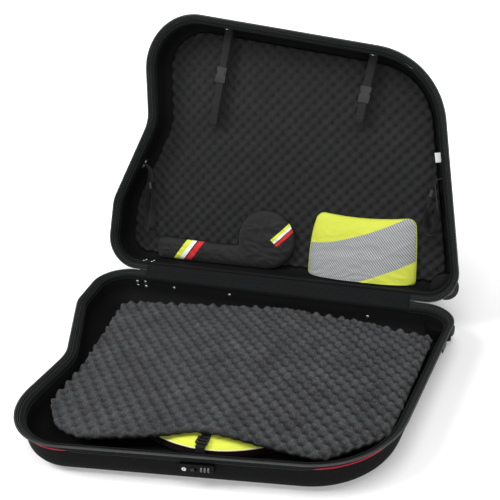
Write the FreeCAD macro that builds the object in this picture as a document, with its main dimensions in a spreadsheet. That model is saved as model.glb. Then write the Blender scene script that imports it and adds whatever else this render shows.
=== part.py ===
import FreeCAD, Part
import math
import os
import Sketcher
from FreeCAD import Placement, Rotation, Vector

# Bike travel case: two soft-walled trays joined by a fabric hinge, standing open on the floor.
# X runs along the hinge, Y points to the back, Z is up. The origin is on the base tray's underside.
#
# Both halves are drawn in one half frame and then placed. In it, x runs along the hinge, v is the distance
# from the hinge line towards the front edge, and depth is the distance from the parting plane. An inset is
# measured inwards from the rim line, which is where the two zip rows meet.

BASE = "base"
LID = "lid"

os.makedirs("parts", exist_ok=True)
doc = FreeCAD.newDocument("bike_travel_case")
sheet = doc.addObject("Spreadsheet::Sheet", "sizes")

SIZES = [
    # the case as a whole, millimetres and degrees
    ("open_angle", 105, "angle between the two halves as it stands"),
    ("hinge_setback", 430, "hinge line behind the origin"),
    ("base_depth", 112, "parting plane above the floor"),
    ("lid_depth", 128, "parting plane to the lid's outer panel"),
    ("shell_wall", 5, "foam shell wall"),
    ("floor_round", 50, "radius from the walls to the outer panel"),
    # rim line: corners of the polygon before rounding, and the rounding radii
    ("hinge_right_x", 600, ""),
    ("hinge_left_x", -642, ""),
    ("bulge_x", -610, "left bulge"),
    ("bulge_v", 247, ""),
    ("waist_x", -471, "left waist, rounded inwards"),
    ("waist_v", 524, ""),
    ("front_left_x", -490, ""),
    ("front_left_v", 900, ""),
    ("front_right_x", 475, ""),
    ("front_right_v", 738, ""),
    ("hinge_right_round", 95, ""),
    ("hinge_left_round", 107, ""),
    ("bulge_round", 130, ""),
    ("waist_round", 130, ""),
    ("front_left_round", 170, ""),
    ("front_right_round", 262, ""),
    # rim band
    ("flare", 20, "zip tape from the rim line in to the shell wall"),
    ("edge_depth", 15, "shell edge below the parting plane"),
    ("parting_gap", 0.3, "each half's zip teeth to the parting plane"),
    ("sew_gap", 0.1, "between pieces sewn or pressed together"),
    ("tooth_width", 4, "zip row"),
    ("tooth_height", 3, ""),
    ("tape_thickness", 1.5, "zip tape, hinge strip and edge binding"),
    ("tape_overlap", 9, "tape down the outside of the shell"),
    ("binding_overlap", 13, "edge binding down the inside of the shell"),
    ("piping_radius", 2, ""),
    ("hinge_strip_left", -478, "hinge strip's left end"),
    ("hinge_strip_right", 444, "hinge strip's right end"),
    ("hinge_play", 0.8, "hinge strip's edge to the hinge line"),
    # foam, bag, pouch and cover
    ("lid_foam_thickness", 22, ""),
    ("lid_foam_edge", 44, "inset of the lid foam's front face"),
    ("lid_foam_back_edge", 78, "inset of the lid foam's back face"),
    ("base_foam_thickness", 26, ""),
    ("foam_back_left_x", -502, "base foam sheet: corners of its cut outline"),
    ("foam_back_left_v", 146, ""),
    ("foam_back_x", 60, ""),
    ("foam_back_v", 66, ""),
    ("foam_back_right_x", 528, ""),
    ("foam_back_right_v", 108, ""),
    ("foam_right_x", 464, ""),
    ("foam_right_v", 560, ""),
    ("foam_front_right_x", 326, ""),
    ("foam_front_right_v", 688, ""),
    ("foam_lock_gap", 4, "sheet's edge to the ladder lock"),
    ("foam_step_x", -96, "where the edge steps back beside the strap"),
    ("foam_step_v", 716, ""),
    ("foam_front_x", -283, ""),
    ("foam_front_v", 772, ""),
    ("foam_front_left_x", -362, ""),
    ("foam_front_left_v", 756, ""),
    ("foam_left_x", -430, ""),
    ("foam_left_v", 676, ""),
    ("foam_waist_x", -434, ""),
    ("foam_waist_v", 520, ""),
    ("wheel_bag_x", 0, "wheel bag's centre"),
    ("wheel_bag_v", 386, ""),
    ("wheel_bag_radius", 326, ""),
    ("wheel_bag_height", 45, ""),
    ("wheel_bag_edge", 14, "rounding of its rim"),
    ("rest_gap", 0.3, "soft pieces to what they lie on"),
    ("pouch_clearance", 46, "pouch to the wheel housing"),
    ("pouch_width", 358, ""),
    ("pouch_height", 236, ""),
    ("pouch_foot_depth", 46, "thickness where it stands"),
    ("pouch_top_depth", 15, "thickness at its top"),
    ("pouch_round", 7, ""),
    ("cover_gap", 48, "drivetrain cover to the pouch"),
    ("cover_radius", 104, ""),
    ("cover_tail_left", -478, ""),
    ("cover_tail_height", 72, ""),
    ("cover_thickness", 26, ""),
    ("cover_round", 8, ""),
    # straps and buckles
    ("strap_width", 25, ""),
    ("strap_thickness", 1.6, ""),
    ("strap_leg_gap", 14, "between the two legs of a hanging loop"),
    ("anchor_length", 34, "strap end riveted to the wall"),
    ("seat_strap_x", -205, ""),
    ("seat_strap_length", 318, ""),
    ("seat_buckle_drop", 122, "wall to the buckle's upper end"),
    ("head_strap_x", 274, ""),
    ("head_strap_length", 214, ""),
    ("head_buckle_drop", 96, ""),
    ("left_strap_place", 122, "anchor along the left slope from the waist"),
    ("left_strap_length", 232, ""),
    ("right_strap_place", 280, "anchor along the right wall from the hinge corner"),
    ("right_strap_length", 176, ""),
    ("side_loop_radius", 24, "round end of the side loops"),
    ("side_strap_depth", 50, "near edge of the side loops"),
    ("buckle_socket_length", 30, ""),
    ("buckle_plug_length", 20, ""),
    ("buckle_width", 34, ""),
    ("buckle_thickness", 9, ""),
    ("buckle_wall", 2, ""),
    ("buckle_play", 0.4, ""),
    ("prong_length", 18, ""),
    ("prong_width", 6, ""),
    ("plug_slot", 3.5, "each slot of the plug's strap bar, along the strap"),
    ("plug_slot_step", 6.5, ""),
    ("plug_slot_sink", 3, ""),
    ("slide_bar", 3, "bars of the strap adjusters"),
    ("slide_height", 22, "adjusters along the strap"),
    ("bag_strap_x", 24, "strap over the wheel bag"),
    ("bag_strap_reach", 22, "strap past the bag's rim at each end"),
    ("ladder_lock_setback", 17, "ladder lock behind the strap's turned-down end"),
    ("ladder_lock_length", 24, "along the strap"),
    ("ladder_lock_height", 4.5, ""),
    # corner wheels
    ("wheel_inset", 55, "wheel axis inside the rim's hinge corner"),
    ("wheel_v", 38, ""),
    ("wheel_radius", 40, ""),
    ("wheel_width", 26, ""),
    ("tyre_round", 5, ""),
    ("hub_radius", 27, ""),
    ("bearing_radius", 11, ""),
    ("bearing_width", 7, ""),
    ("axle_radius", 4, ""),
    ("axle_head_radius", 7, ""),
    ("axle_head_height", 2, ""),
    ("running_gap", 0.05, "radial play of everything that turns on a pin"),
    ("wheel_gap", 3.5, "wheel to its housing, all round"),
    ("wheel_side_gap", 1.5, ""),
    ("housing_wall", 3.5, ""),
    ("guard_inset", 3, "corner guard's open edge inside the rim line"),
    ("guard_thickness", 3.4, "guard plate on the shell"),
    ("guard_v", 144, "guard's end on the right wall"),
    ("base_guard_x", 302, "guard's end on the hinge side"),
    ("lid_guard_x", 470, ""),
    ("base_wheel_depth", 62, "middle of the wheel below the parting plane"),
    ("lid_wheel_depth", 74, ""),
    # feet, handles and rivets
    ("foot_x", -490, ""),
    ("foot_length", 64, ""),
    ("foot_depth", 34, ""),
    ("foot_reach", 20, "foot past the rim line"),
    ("foot_round", 6, ""),
    ("stop_gap", 0.3, "foot to the plane where the two halves' feet meet"),
    ("rivet_head_radius", 5, ""),
    ("rivet_head_height", 2, ""),
    ("rivet_head_round", 1.4, ""),
    ("rivet_shank_radius", 2.2, ""),
    ("rivet_grip", 8, "shank length"),
    ("grab_x", -259, "grab handle on the hinge wall, middle"),
    ("grab_spacing", 208, "between its rivets"),
    ("grab_depth", 45, ""),
    ("grab_rise", 15, "finger room"),
    ("grab_thickness", 3, ""),
    ("grab_tab", 15, "webbing past each rivet"),
    ("handle_x", -60, "carry handle on the lid's front wall"),
    ("handle_depth", 68, ""),
    ("handle_span", 128, "between its legs"),
    ("handle_width", 26, ""),
    ("handle_thickness", 8, ""),
    ("handle_round", 3.4, ""),
    ("handle_travel", 9, ""),
    ("cap_length", 42, "end cap along the wall"),
    ("cap_width", 30, ""),
    ("cap_lip", 3, "top of the cap around the leg"),
    ("cap_wall", 3, ""),
    ("cap_tab", 18, "riveted tab past each end of the cap"),
    ("leg_length", 20, "leg along the wall"),
    ("leg_width", 8, ""),
    ("leg_play", 0.4, ""),
    ("flange_height", 3, "stop on the leg's inner end"),
    # lock on the base's front wall
    ("lock_x", 56, ""),
    ("lock_depth", 43.5, ""),
    ("lock_length", 82, ""),
    ("lock_width", 29, ""),
    ("lock_height", 14, ""),
    ("lock_round", 4, ""),
    ("dial_radius", 8, ""),
    ("dial_width", 4.4, ""),
    ("dial_pitch", 8.5, ""),
    ("dial_x", 20, "middle dial"),
    ("dial_sink", 4.6, "dial axis below the lock's face"),
    ("dial_play", 0.4, ""),
    ("dial_axle_radius", 1.5, ""),
    ("button_x", -10, "button at rest"),
    ("button_length", 9, ""),
    ("button_width", 8, ""),
    ("button_proud", 2, ""),
    ("button_sink", 8, "button below the lock's face"),
    ("button_travel", 5, ""),
    ("key_x", -30, ""),
    ("key_radius", 5.5, ""),
    ("key_sink", 9, ""),
    ("key_proud", 1, ""),
    ("keyway_width", 1.6, ""),
    ("keyway_length", 7, ""),
    ("keyway_depth", 3, ""),
    # zip sliders, parked at the two ends of the zip beside the hinge strip
    ("slider_length", 14, ""),
    ("slider_plate", 2.2, ""),
    ("slider_play", 0.4, "slider to the zip row"),
    ("slider_drop", 1.4, "slider's outer plate below the top of the zip row"),
    ("pull_pin_radius", 1.2, ""),
    ("pull_eye_radius", 2.6, ""),
    ("pull_length", 19, ""),
    ("pull_width", 5, ""),
    ("pull_thickness", 1.8, ""),
    ("pull_ear", 1, "ears that carry the pin"),
    # blank care label, sewn to the right wall of the lid by one edge
    ("label_place", 344, "along the right wall from the hinge corner"),
    ("label_height", 30, ""),
    ("label_reach", 21, "from the wall"),
    ("label_thickness", 0.8, ""),
    ("label_depth", 63, "below the parting plane"),
]

for row, (alias, value, note) in enumerate(SIZES, start=1):
    sheet.set("A%d" % row, alias)
    sheet.set("B%d" % row, str(value))
    sheet.set("C%d" % row, note)
    sheet.setAlias("B%d" % row, alias)
doc.recompute()


def size(alias):
    return float(sheet.get(alias))


def bind(feature, **expressions):
    for name, expression in expressions.items():
        feature.setExpression(name.replace("__", "."), expression)


NODES = []


def node(feature, label):
    feature.Label = label
    NODES.append(feature)
    return feature


def shaped(label, shape, placement):
    feature = doc.addObject("Part::Feature", label)
    feature.Shape = shape
    feature.Placement = placement
    return node(feature, label)


# Frames

HINGE_LINE = Vector(0, size("hinge_setback"), size("base_depth"))
HALF = {
    BASE: Placement(HINGE_LINE, Rotation()),
    LID: Placement(HINGE_LINE, Rotation(Vector(1, 0, 0), -size("open_angle"))),
}
DEPTH = {BASE: size("base_depth"), LID: size("lid_depth")}


def towards(side):
    """Direction in which a half's depth grows."""
    return -1 if side == BASE else 1


def point(x, v, depth, side):
    return Vector(x, -v, towards(side) * depth)


CORNERS = ("hinge_right", "front_right", "front_left", "waist", "bulge", "hinge_left")
RIGHT_EDGE = "hinge_right"
FRONT_EDGE = "front_right"
SLOPE_EDGE = "waist"
HINGE_EDGE = "hinge_left"


def rim_corner(name):
    return Vector(size(name + "_x"), 0 if name.startswith("hinge") else size(name + "_v"), 0)


def rim_arcs():
    """Each corner's arc centre, radius, whether it bulges outwards, and its two outward edge normals."""
    arcs = {}
    for name, last, following in zip(CORNERS, CORNERS[-1:] + CORNERS, CORNERS[1:] + CORNERS):
        corner = rim_corner(name)
        radius = size(name + "_round")
        before = (corner - rim_corner(last)).normalize()
        after = (rim_corner(following) - corner).normalize()
        turn = before.cross(after).z
        normal_in = Vector(before.y, -before.x, 0)
        normal_out = Vector(after.y, -after.x, 0)
        bulges = turn > 0
        middle = (normal_in + normal_out).normalize()
        reach = radius / middle.dot(normal_in)
        centre = corner - middle * reach if bulges else corner + middle * reach
        arcs[name] = (centre, radius, bulges, normal_in, normal_out)
    return arcs


RIM = rim_arcs()


def rim_wire(inset, depth, side):
    """The rim line moved inwards by inset, at a depth, as lines and arcs."""
    ends = []
    for centre, radius, bulges, normal_in, normal_out in RIM.values():
        reach = radius - inset if bulges else -(radius + inset)
        middle = (normal_in + normal_out).normalize()
        spots = [centre + normal * reach for normal in (normal_in, middle, normal_out)]
        ends.append([point(spot.x, spot.y, depth, side) for spot in spots])
    edges = []
    for k, (start, middle, end) in enumerate(ends):
        edges.append(Part.Arc(start, middle, end).toShape())
        edges.append(Part.LineSegment(end, ends[(k + 1) % len(ends)][0]).toShape())
    return Part.Wire(edges)


def ring(section, side):
    """A closed band around the case: the section's corners are (inset, depth) pairs."""
    wires = [rim_wire(inset, depth, side) for inset, depth in section]
    faces = []
    for first, second in zip(wires, wires[1:] + wires[:1]):
        faces += Part.makeLoft([first, second], False, True).Faces
    shell = Part.Shell(faces)
    shell.sewShape()
    solid = Part.Solid(shell)
    if solid.Volume < 0:
        solid.reverse()
    return solid


def block(x_low, x_high, v_low, v_high, depth_low, depth_high, side):
    low = min(towards(side) * depth_low, towards(side) * depth_high)
    box = Part.makeBox(x_high - x_low, v_high - v_low, abs(depth_high - depth_low))
    box.translate(Vector(x_low, -v_high, low))
    return box


def depth_cylinder(x, v, radius, depth_low, depth_high, side):
    axis = Vector(0, 0, towards(side))
    return Part.makeCylinder(radius, depth_high - depth_low, point(x, v, depth_low, side), axis)


def wall_frame(edge, along, inset, depth, side):
    """A frame on a straight wall: X along the wall, Y towards +Z, Z outwards."""
    centre, radius, bulges, _, normal = RIM[edge]
    start = centre + normal * (radius if bulges else -radius)
    direction = Vector(-normal.y, normal.x, 0)
    spot = start + direction * along - normal * inset
    along_wall = Vector(-direction.x, direction.y, 0)
    outwards = Vector(normal.x, -normal.y, 0)
    up = outwards.cross(along_wall)
    turn = Rotation(along_wall, up, outwards, "ZXY")
    return Placement(point(spot.x, spot.y, depth, side), turn)


def along_front(x):
    """Distance along the front wall's straight stretch to a given x."""
    centre, radius, _, _, normal = RIM[FRONT_EDGE]
    start = centre + normal * radius
    return (x - start.x) / -normal.y


def hinge_span(side, v_high, depth_high):
    return block(size("hinge_strip_left"), size("hinge_strip_right"), -1, v_high, 0, depth_high, side)


# Shells

FLARE = size("flare")
WALL_IN = FLARE + size("shell_wall")
EDGE = size("edge_depth")
SEW = size("sew_gap")


def tray(inset, depth_low, depth_high, rounding, side):
    face = Part.Face(rim_wire(inset, depth_low, side))
    solid = face.extrude(Vector(0, 0, towards(side) * (depth_high - depth_low)))
    panel_edges = []
    for edge in solid.Edges:
        if all(abs(vertex.Z - towards(side) * depth_high) < 1e-6 for vertex in edge.Vertexes):
            panel_edges.append(edge)
    return solid.makeFillet(rounding, panel_edges)


def lid_wall_inset(depth):
    """Inset of the lid's inner wall at a depth, rounding included."""
    radius = size("floor_round") - size("shell_wall")
    into_round = max(0.0, depth - (DEPTH[LID] - size("floor_round")))
    return WALL_IN + radius - math.sqrt(radius**2 - into_round**2)


def wheel_band(side):
    """Depths between which the wheel housing's cup lies."""
    middle = size(side + "_wheel_depth")
    half = size("wheel_width") / 2 + size("wheel_side_gap") + size("housing_wall")
    return middle - half, middle + half


WHEEL_X = size("hinge_right_x") - size("wheel_inset")
CUP_RADIUS = size("wheel_radius") + size("wheel_gap") + size("housing_wall")


def make_shell(side):
    wall = size("shell_wall")
    outer = tray(FLARE, EDGE, DEPTH[side], size("floor_round"), side)
    inner = tray(WALL_IN, EDGE, DEPTH[side] - wall, size("floor_round") - wall, side)
    near, far = wheel_band(side)
    wheel_hole = depth_cylinder(WHEEL_X, size("wheel_v"), CUP_RADIUS + SEW, near - SEW, far + SEW, side)
    ends = size("axle_head_height") + size("rest_gap")
    head = size("axle_head_radius") + size("rest_gap")
    axle_hole = depth_cylinder(WHEEL_X, size("wheel_v"), head, near - ends, far + ends, side)
    shaped(side + "_shell", outer.cut(inner).cut(wheel_hole).cut(axle_hole), HALF[side])


# Rim band: zip rows, zip tapes, edge bindings, piping and the fabric hinge

TAPE = size("tape_thickness")
TAPE_EDGE = 1.3  # height of the slanted tape's outer edge for its thickness


def band_section(start_inset, start_depth):
    """Tape from its outer edge, slanting in to the shell edge and down the outside of the wall."""
    outside = FLARE - SEW
    foot = EDGE + size("tape_overlap")
    return [
        (start_inset, start_depth),
        (start_inset, start_depth + TAPE_EDGE * TAPE),
        (outside - TAPE, EDGE),
        (outside - TAPE, foot),
        (outside, foot),
        (outside, EDGE - TAPE),
    ]


def make_rim(side):
    name = side
    gap = size("parting_gap")
    width = size("tooth_width")
    top = gap + size("tooth_height")
    clear = EDGE + size("tape_overlap") + 1
    hinge = hinge_span(side, FLARE, clear)
    teeth = ring([(0, gap), (0, top), (width, top), (width, gap)], side).cut(hinge)
    shaped(name + "_zip_teeth", teeth, HALF[side])

    tape = ring(band_section(width + SEW, gap + SEW), side).cut(hinge)
    shaped(name + "_zip_tape", tape, HALF[side])

    cap = EDGE - SEW
    inside = WALL_IN + SEW
    low = EDGE + size("binding_overlap")
    binding = ring(
        [
            (FLARE, cap - TAPE),
            (FLARE, cap),
            (inside, cap),
            (inside, low),
            (inside + TAPE, low),
            (inside + TAPE, cap - TAPE),
        ],
        side,
    )
    shaped(name + "_edge_binding", binding, HALF[side])

    radius = size("piping_radius")
    centre_inset = FLARE - SEW - radius
    centre_depth = EDGE + size("tape_overlap") + SEW + radius
    sides = 8
    corners = []
    for k in range(sides):
        angle = 2 * math.pi * (k + 0.5) / sides
        corners.append((centre_inset + radius * math.cos(angle), centre_depth + radius * math.sin(angle)))
    left = RIM[HINGE_EDGE][0].x
    right = RIM[RIGHT_EDGE][0].x
    hinge_side = block(left, right, -1, FLARE, 0, centre_depth + 2 * radius, side)
    shaped(name + "_piping", ring(corners, side).cut(hinge_side), HALF[side])

    play = size("hinge_play")
    outline = [
        point(size("hinge_strip_left") + play, inset, depth, side)
        for inset, depth in band_section(play, play / 2)
    ]
    face = Part.Face(Part.makePolygon(outline + outline[:1]))
    length = size("hinge_strip_right") - size("hinge_strip_left") - 2 * play
    shaped(name + "_hinge_strip", face.extrude(Vector(length, 0, 0)), HALF[side])


# Padding, bag, pouch and cover


def make_lid_foam():
    back = DEPTH[LID] - size("shell_wall") - SEW
    front = back - size("lid_foam_thickness")
    wires = [
        rim_wire(size("lid_foam_edge"), front, LID),
        rim_wire(size("lid_foam_back_edge"), back, LID),
    ]
    shaped("lid_foam_panel", Part.makeLoft(wires, True, True), HALF[LID])


BAG_FLOOR = size("base_depth") - size("shell_wall") - SEW
BAG_TOP = BAG_FLOOR - size("wheel_bag_height")
STRAP = size("strap_thickness")
FOAM_UNDERSIDE = BAG_TOP - STRAP - 2 * size("rest_gap")


def strap_reach():
    """Half the strap's length over the wheel bag, between its two turned-down ends."""
    side_step = max(0.0, abs(size("bag_strap_x") - size("wheel_bag_x")) - size("strap_width") / 2)
    return math.sqrt(size("wheel_bag_radius") ** 2 - side_step**2) + size("rest_gap")


LOCK_V = size("wheel_bag_v") + strap_reach() - size("ladder_lock_setback")


def make_base_foam():
    names = ("back_left", "back", "back_right", "right", "front_right", "strap_right", "strap_left")
    names += ("step", "front", "front_left", "left", "waist")
    beside = size("strap_width")
    edge = LOCK_V - size("ladder_lock_length") / 2 - size("foam_lock_gap")
    strap_x = size("bag_strap_x")
    ends = {"strap_right": (strap_x + beside, edge), "strap_left": (strap_x - beside, edge)}
    outline = []
    for name in names:
        x, v = ends[name] if name in ends else (size("foam_%s_x" % name), size("foam_%s_v" % name))
        outline.append(point(x, v, FOAM_UNDERSIDE, BASE))
    face = Part.Face(Part.makePolygon(outline + outline[:1]))
    shaped("base_foam_sheet", face.extrude(Vector(0, 0, size("base_foam_thickness"))), HALF[BASE])


def make_wheel_bag():
    bag = depth_cylinder(
        size("wheel_bag_x"), size("wheel_bag_v"), size("wheel_bag_radius"), BAG_TOP, BAG_FLOOR, BASE
    )
    rims = [edge for edge in bag.Edges if len(edge.Vertexes) == 1]
    shaped("wheel_bag", bag.makeFillet(size("wheel_bag_edge"), rims), HALF[BASE])


def make_bag_strap():
    """Flat webbing over the top of the wheel bag, its ends turned down past the bag's rim."""
    v_low = size("wheel_bag_v") - strap_reach()
    v_high = size("wheel_bag_v") + strap_reach()
    x_low = size("bag_strap_x") - size("strap_width") / 2
    x_high = x_low + size("strap_width")
    top = BAG_TOP - size("rest_gap")
    strap = block(x_low, x_high, v_low - STRAP, v_high + STRAP, top - STRAP, top, BASE)
    for near, far in ((v_low - STRAP, v_low), (v_high, v_high + STRAP)):
        strap = strap.fuse(block(x_low, x_high, near, far, top - STRAP, top + size("bag_strap_reach"), BASE))
    shaped("wheel_bag_strap", strap.removeSplitter(), HALF[BASE])


POUCH_RIGHT = WHEEL_X - CUP_RADIUS - size("pouch_clearance")
POUCH_LEFT = POUCH_RIGHT - size("pouch_width")


def make_pouch():
    """Soft pouch that stands on the lid's hinge wall and leans on the lid's foam."""
    foam_front = DEPTH[LID] - size("shell_wall") - SEW - size("lid_foam_thickness")
    back_top = foam_front - size("rest_gap")
    back_foot = back_top - size("pouch_round")
    low = lid_wall_inset(back_foot - size("pouch_round")) + size("rest_gap")
    high = low + size("pouch_height")
    corners = [
        (low, back_foot - size("pouch_foot_depth")),
        (low, back_foot),
        (high, back_top),
        (high, back_top - size("pouch_top_depth")),
    ]
    outline = [point(POUCH_LEFT, v, depth, LID) for v, depth in corners]
    face = Part.Face(Part.makePolygon(outline + outline[:1]))
    solid = face.extrude(Vector(size("pouch_width"), 0, 0))
    shaped("accessory_pouch", solid.makeFillet(size("pouch_round"), solid.Edges), HALF[LID])


def make_cover():
    """Padded cover for the drivetrain: a round end and a tail to the left."""
    foam_front = DEPTH[LID] - size("shell_wall") - SEW - size("lid_foam_thickness")
    far = foam_front - size("rest_gap")
    near = far - size("cover_thickness")
    low = lid_wall_inset(far) + size("rest_gap")
    radius = size("cover_radius")
    middle = POUCH_LEFT - size("cover_gap") - radius
    disc = depth_cylinder(middle, low + radius, radius, near, far, LID)
    tail = block(size("cover_tail_left"), middle, low, low + size("cover_tail_height"), near, far, LID)
    outline = disc.fuse(tail).removeSplitter()
    faces_out = []
    for edge in outline.Edges:
        depths = [round(abs(vertex.Z), 6) for vertex in edge.Vertexes]
        if len(set(depths)) == 1:
            faces_out.append(edge)
    shaped("drivetrain_cover", outline.makeFillet(size("cover_round"), faces_out), HALF[LID])


# Straps and their hardware


def stadium(length, half_width):
    """A long loop outline in the XZ plane, hanging from the origin towards -Z."""
    top_left = Vector(-half_width, 0, -half_width)
    top_right = Vector(half_width, 0, -half_width)
    low_left = Vector(-half_width, 0, half_width - length)
    low_right = Vector(half_width, 0, half_width - length)
    edges = [
        Part.Arc(top_left, Vector(0, 0, 0), top_right).toShape(),
        Part.LineSegment(top_right, low_right).toShape(),
        Part.Arc(low_right, Vector(0, 0, -length), low_left).toShape(),
        Part.LineSegment(low_left, top_left).toShape(),
    ]
    return Part.Wire(edges)


def make_hanging_loop(name, x, length, buckle_drop):
    """A strap loop riveted to the lid's front wall, with a side-release buckle in its front leg."""
    half_gap = size("strap_leg_gap") / 2
    middle_depth = DEPTH[LID] - size("floor_round")
    wall = wall_frame(FRONT_EDGE, along_front(x), WALL_IN + SEW, middle_depth, LID)
    local = Placement(Vector(), Rotation(Vector(0, 0, 1), 90))
    frame = HALF[LID].multiply(wall).multiply(local)
    width = size("strap_width")
    outer = Part.Face(stadium(length, half_gap + STRAP)).extrude(Vector(0, width, 0))
    inner = Part.Face(stadium(length - 2 * STRAP, half_gap)).extrude(Vector(0, width, 0))
    inner.translate(Vector(0, 0, -STRAP))
    loop = outer.cut(inner)
    anchor = Part.makeBox(size("anchor_length"), width, STRAP, Vector(-size("anchor_length"), 0, -STRAP))
    strap = loop.fuse(anchor)
    buckle_length = size("buckle_socket_length") + size("buckle_plug_length")
    gap = size("buckle_play")
    window = Part.makeBox(
        half_gap,
        width,
        buckle_length + 2 * gap,
        Vector(-half_gap - STRAP - 1, 0, -buckle_drop - buckle_length - gap),
    )
    strap = strap.cut(window)
    strap.translate(Vector(0, -width / 2, 0))
    shaped(name + "_strap", strap.removeSplitter(), frame)
    leg = Vector(-half_gap - STRAP / 2, 0, -buckle_drop)
    make_buckle(name, frame.multiply(Placement(leg, Rotation(Vector(1, 0, 0), 180))))
    for share in (0.25, 0.75):
        offset = Vector(-share * size("anchor_length"), 0, -STRAP)
        add_rivet(LID, wall.multiply(local).multiply(Placement(offset, Rotation())))


def part_box(name, length, width, height, x="0", y="0", z="0"):
    """A box centred on x and y, standing on z. All arguments are sheet expressions."""
    box = doc.addObject("Part::Box", name)
    bind(box, Length=length, Width=width, Height=height)
    bind(box, Placement__Base__x="(%s) - (%s) / 2" % (x, length))
    bind(box, Placement__Base__y="(%s) - (%s) / 2" % (y, width))
    bind(box, Placement__Base__z=z)
    return box


def part_cylinder(name, radius, height, x="0", y="0", z="0"):
    cylinder = doc.addObject("Part::Cylinder", name)
    bind(cylinder, Radius=radius, Height=height)
    bind(cylinder, Placement__Base__x=x, Placement__Base__y=y, Placement__Base__z=z)
    return cylinder


def part_cut(name, base, tool):
    cut = doc.addObject("Part::Cut", name)
    cut.Base = base
    cut.Tool = tool
    return cut


def part_fuse(name, pieces):
    fuse = doc.addObject("Part::MultiFuse", name)
    fuse.Shapes = pieces
    fuse.Refine = True
    return fuse


def make_buckle(name, frame):
    """Side-release buckle: Z runs along the strap from the socket to the plug, X is its thickness."""
    thick = "sizes.buckle_thickness"
    wide = "sizes.buckle_width"
    inner_thick = "(sizes.buckle_thickness - 2 * sizes.buckle_wall)"
    inner_wide = "(sizes.buckle_width - 2 * sizes.buckle_wall)"
    socket_length = "sizes.buckle_socket_length"
    body = part_box(name + "_socket_body", thick, wide, socket_length)
    pocket = part_box(
        name + "_socket_pocket",
        inner_thick,
        inner_wide,
        "sizes.prong_length + 2 * sizes.buckle_play",
        z="sizes.buckle_socket_length - sizes.prong_length - sizes.buckle_play",
    )
    socket = part_cut(name + "_socket_hollow", body, pocket)
    windows = []
    for hand in (-1, 1):
        windows.append(
            part_box(
                name + "_socket_window_%d" % (hand + 1),
                "2 * sizes.buckle_thickness",
                "2 * sizes.prong_width",
                "sizes.prong_length / 2",
                y="%d * sizes.buckle_width / 2" % hand,
                z="sizes.buckle_socket_length - sizes.prong_length * 0.8",
            )
        )
    opened = part_cut(name + "_socket", socket, part_fuse(name + "_socket_windows", windows))
    opened.Placement = frame
    node(opened, name + "_buckle_socket")

    plug_base = part_box(
        name + "_plug_body",
        thick,
        wide,
        "sizes.buckle_plug_length - sizes.buckle_play",
        z="sizes.buckle_socket_length + sizes.buckle_play",
    )
    slots = []
    for face in (-1, 1):
        for step in (1, 2):
            slots.append(
                part_box(
                    name + "_plug_slot_%d_%d" % (face + 1, step),
                    "2 * sizes.plug_slot_sink",
                    "sizes.strap_width",
                    "sizes.plug_slot",
                    x="%d * sizes.buckle_thickness / 2" % face,
                    z="sizes.buckle_socket_length + %d * sizes.plug_slot_step" % step,
                )
            )
    prongs = [part_cut(name + "_plug_slotted", plug_base, part_fuse(name + "_plug_slots", slots))]
    for hand in (-1, 1):
        prongs.append(
            part_box(
                name + "_prong_%d" % (hand + 1),
                inner_thick + " - 2 * sizes.buckle_play",
                "sizes.prong_width",
                "sizes.prong_length + sizes.buckle_play",
                y="%d * (%s / 2 - sizes.prong_width / 2 - sizes.buckle_play)" % (hand, inner_wide),
                z="sizes.buckle_socket_length - sizes.prong_length + sizes.buckle_play",
            )
        )
    plug = part_fuse(name + "_plug", prongs)
    plug.Placement = frame
    node(plug, name + "_buckle_plug")


def teardrop(radius, sine, thickness):
    """A hanging loop in the XY plane, its apex at the origin and its round end towards +Y."""
    drop = radius / sine
    cosine = math.sqrt(1 - sine**2)
    reach = drop * cosine
    right = Vector(reach * sine, reach * cosine, 0)
    left = Vector(-reach * sine, reach * cosine, 0)
    apex = Vector(0, 0, 0)
    edges = [
        Part.LineSegment(apex, right).toShape(),
        Part.Arc(right, Vector(0, drop + radius, 0), left).toShape(),
        Part.LineSegment(left, apex).toShape(),
    ]
    return Part.Face(Part.Wire(edges)).extrude(Vector(0, 0, thickness))


SLIDE_SHARE = 0.35  # the adjuster's place along the loop's leg


def make_side_loop(name, edge, along, length):
    """A strap riveted to a side wall of the lid that hangs down as an open loop beside it."""
    wall = wall_frame(edge, along, WALL_IN + SEW, size("side_strap_depth"), LID)
    width = size("strap_width")
    radius = size("side_loop_radius") + STRAP
    sine = radius / (length - radius)
    outer = teardrop(radius, sine, width)
    inner = teardrop(radius - STRAP, sine, width)
    inner.translate(Vector(0, STRAP / sine, 0))
    loop = outer.cut(inner)
    inwards = wall.Rotation.multVec(Vector(0, 0, -1))
    apex = wall.Base + inwards * (radius + STRAP)
    loop.translate(apex)
    anchor = Part.makeBox(size("anchor_length"), width, STRAP)
    anchor.translate(Vector(-size("anchor_length") / 2, 0, -STRAP))
    anchor.Placement = wall.multiply(anchor.Placement)
    bridge_start = wall.Base + inwards * (STRAP / 2)
    bridge_end = apex + Vector(0, 2 * STRAP, 0)
    across = (bridge_end - bridge_start).normalize()
    rise = Vector(-across.y, across.x, 0) * STRAP
    corners = [bridge_start, bridge_end, bridge_end + rise, bridge_start + rise]
    bridge = Part.Face(Part.makePolygon(corners + corners[:1])).extrude(Vector(0, 0, width))
    strap = loop.fuse([anchor, bridge]).removeSplitter()
    shaped(name + "_strap", strap, HALF[LID])
    hand = 1 if inwards.x > 0 else -1
    make_slide(name, apex, sine, hand, (length - 2 * radius) * SLIDE_SHARE)
    for step in (-1, 1):
        offset = Vector(step * size("anchor_length") / 4, width / 2, -STRAP)
        add_rivet(LID, wall.multiply(Placement(offset, Rotation())))


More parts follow.
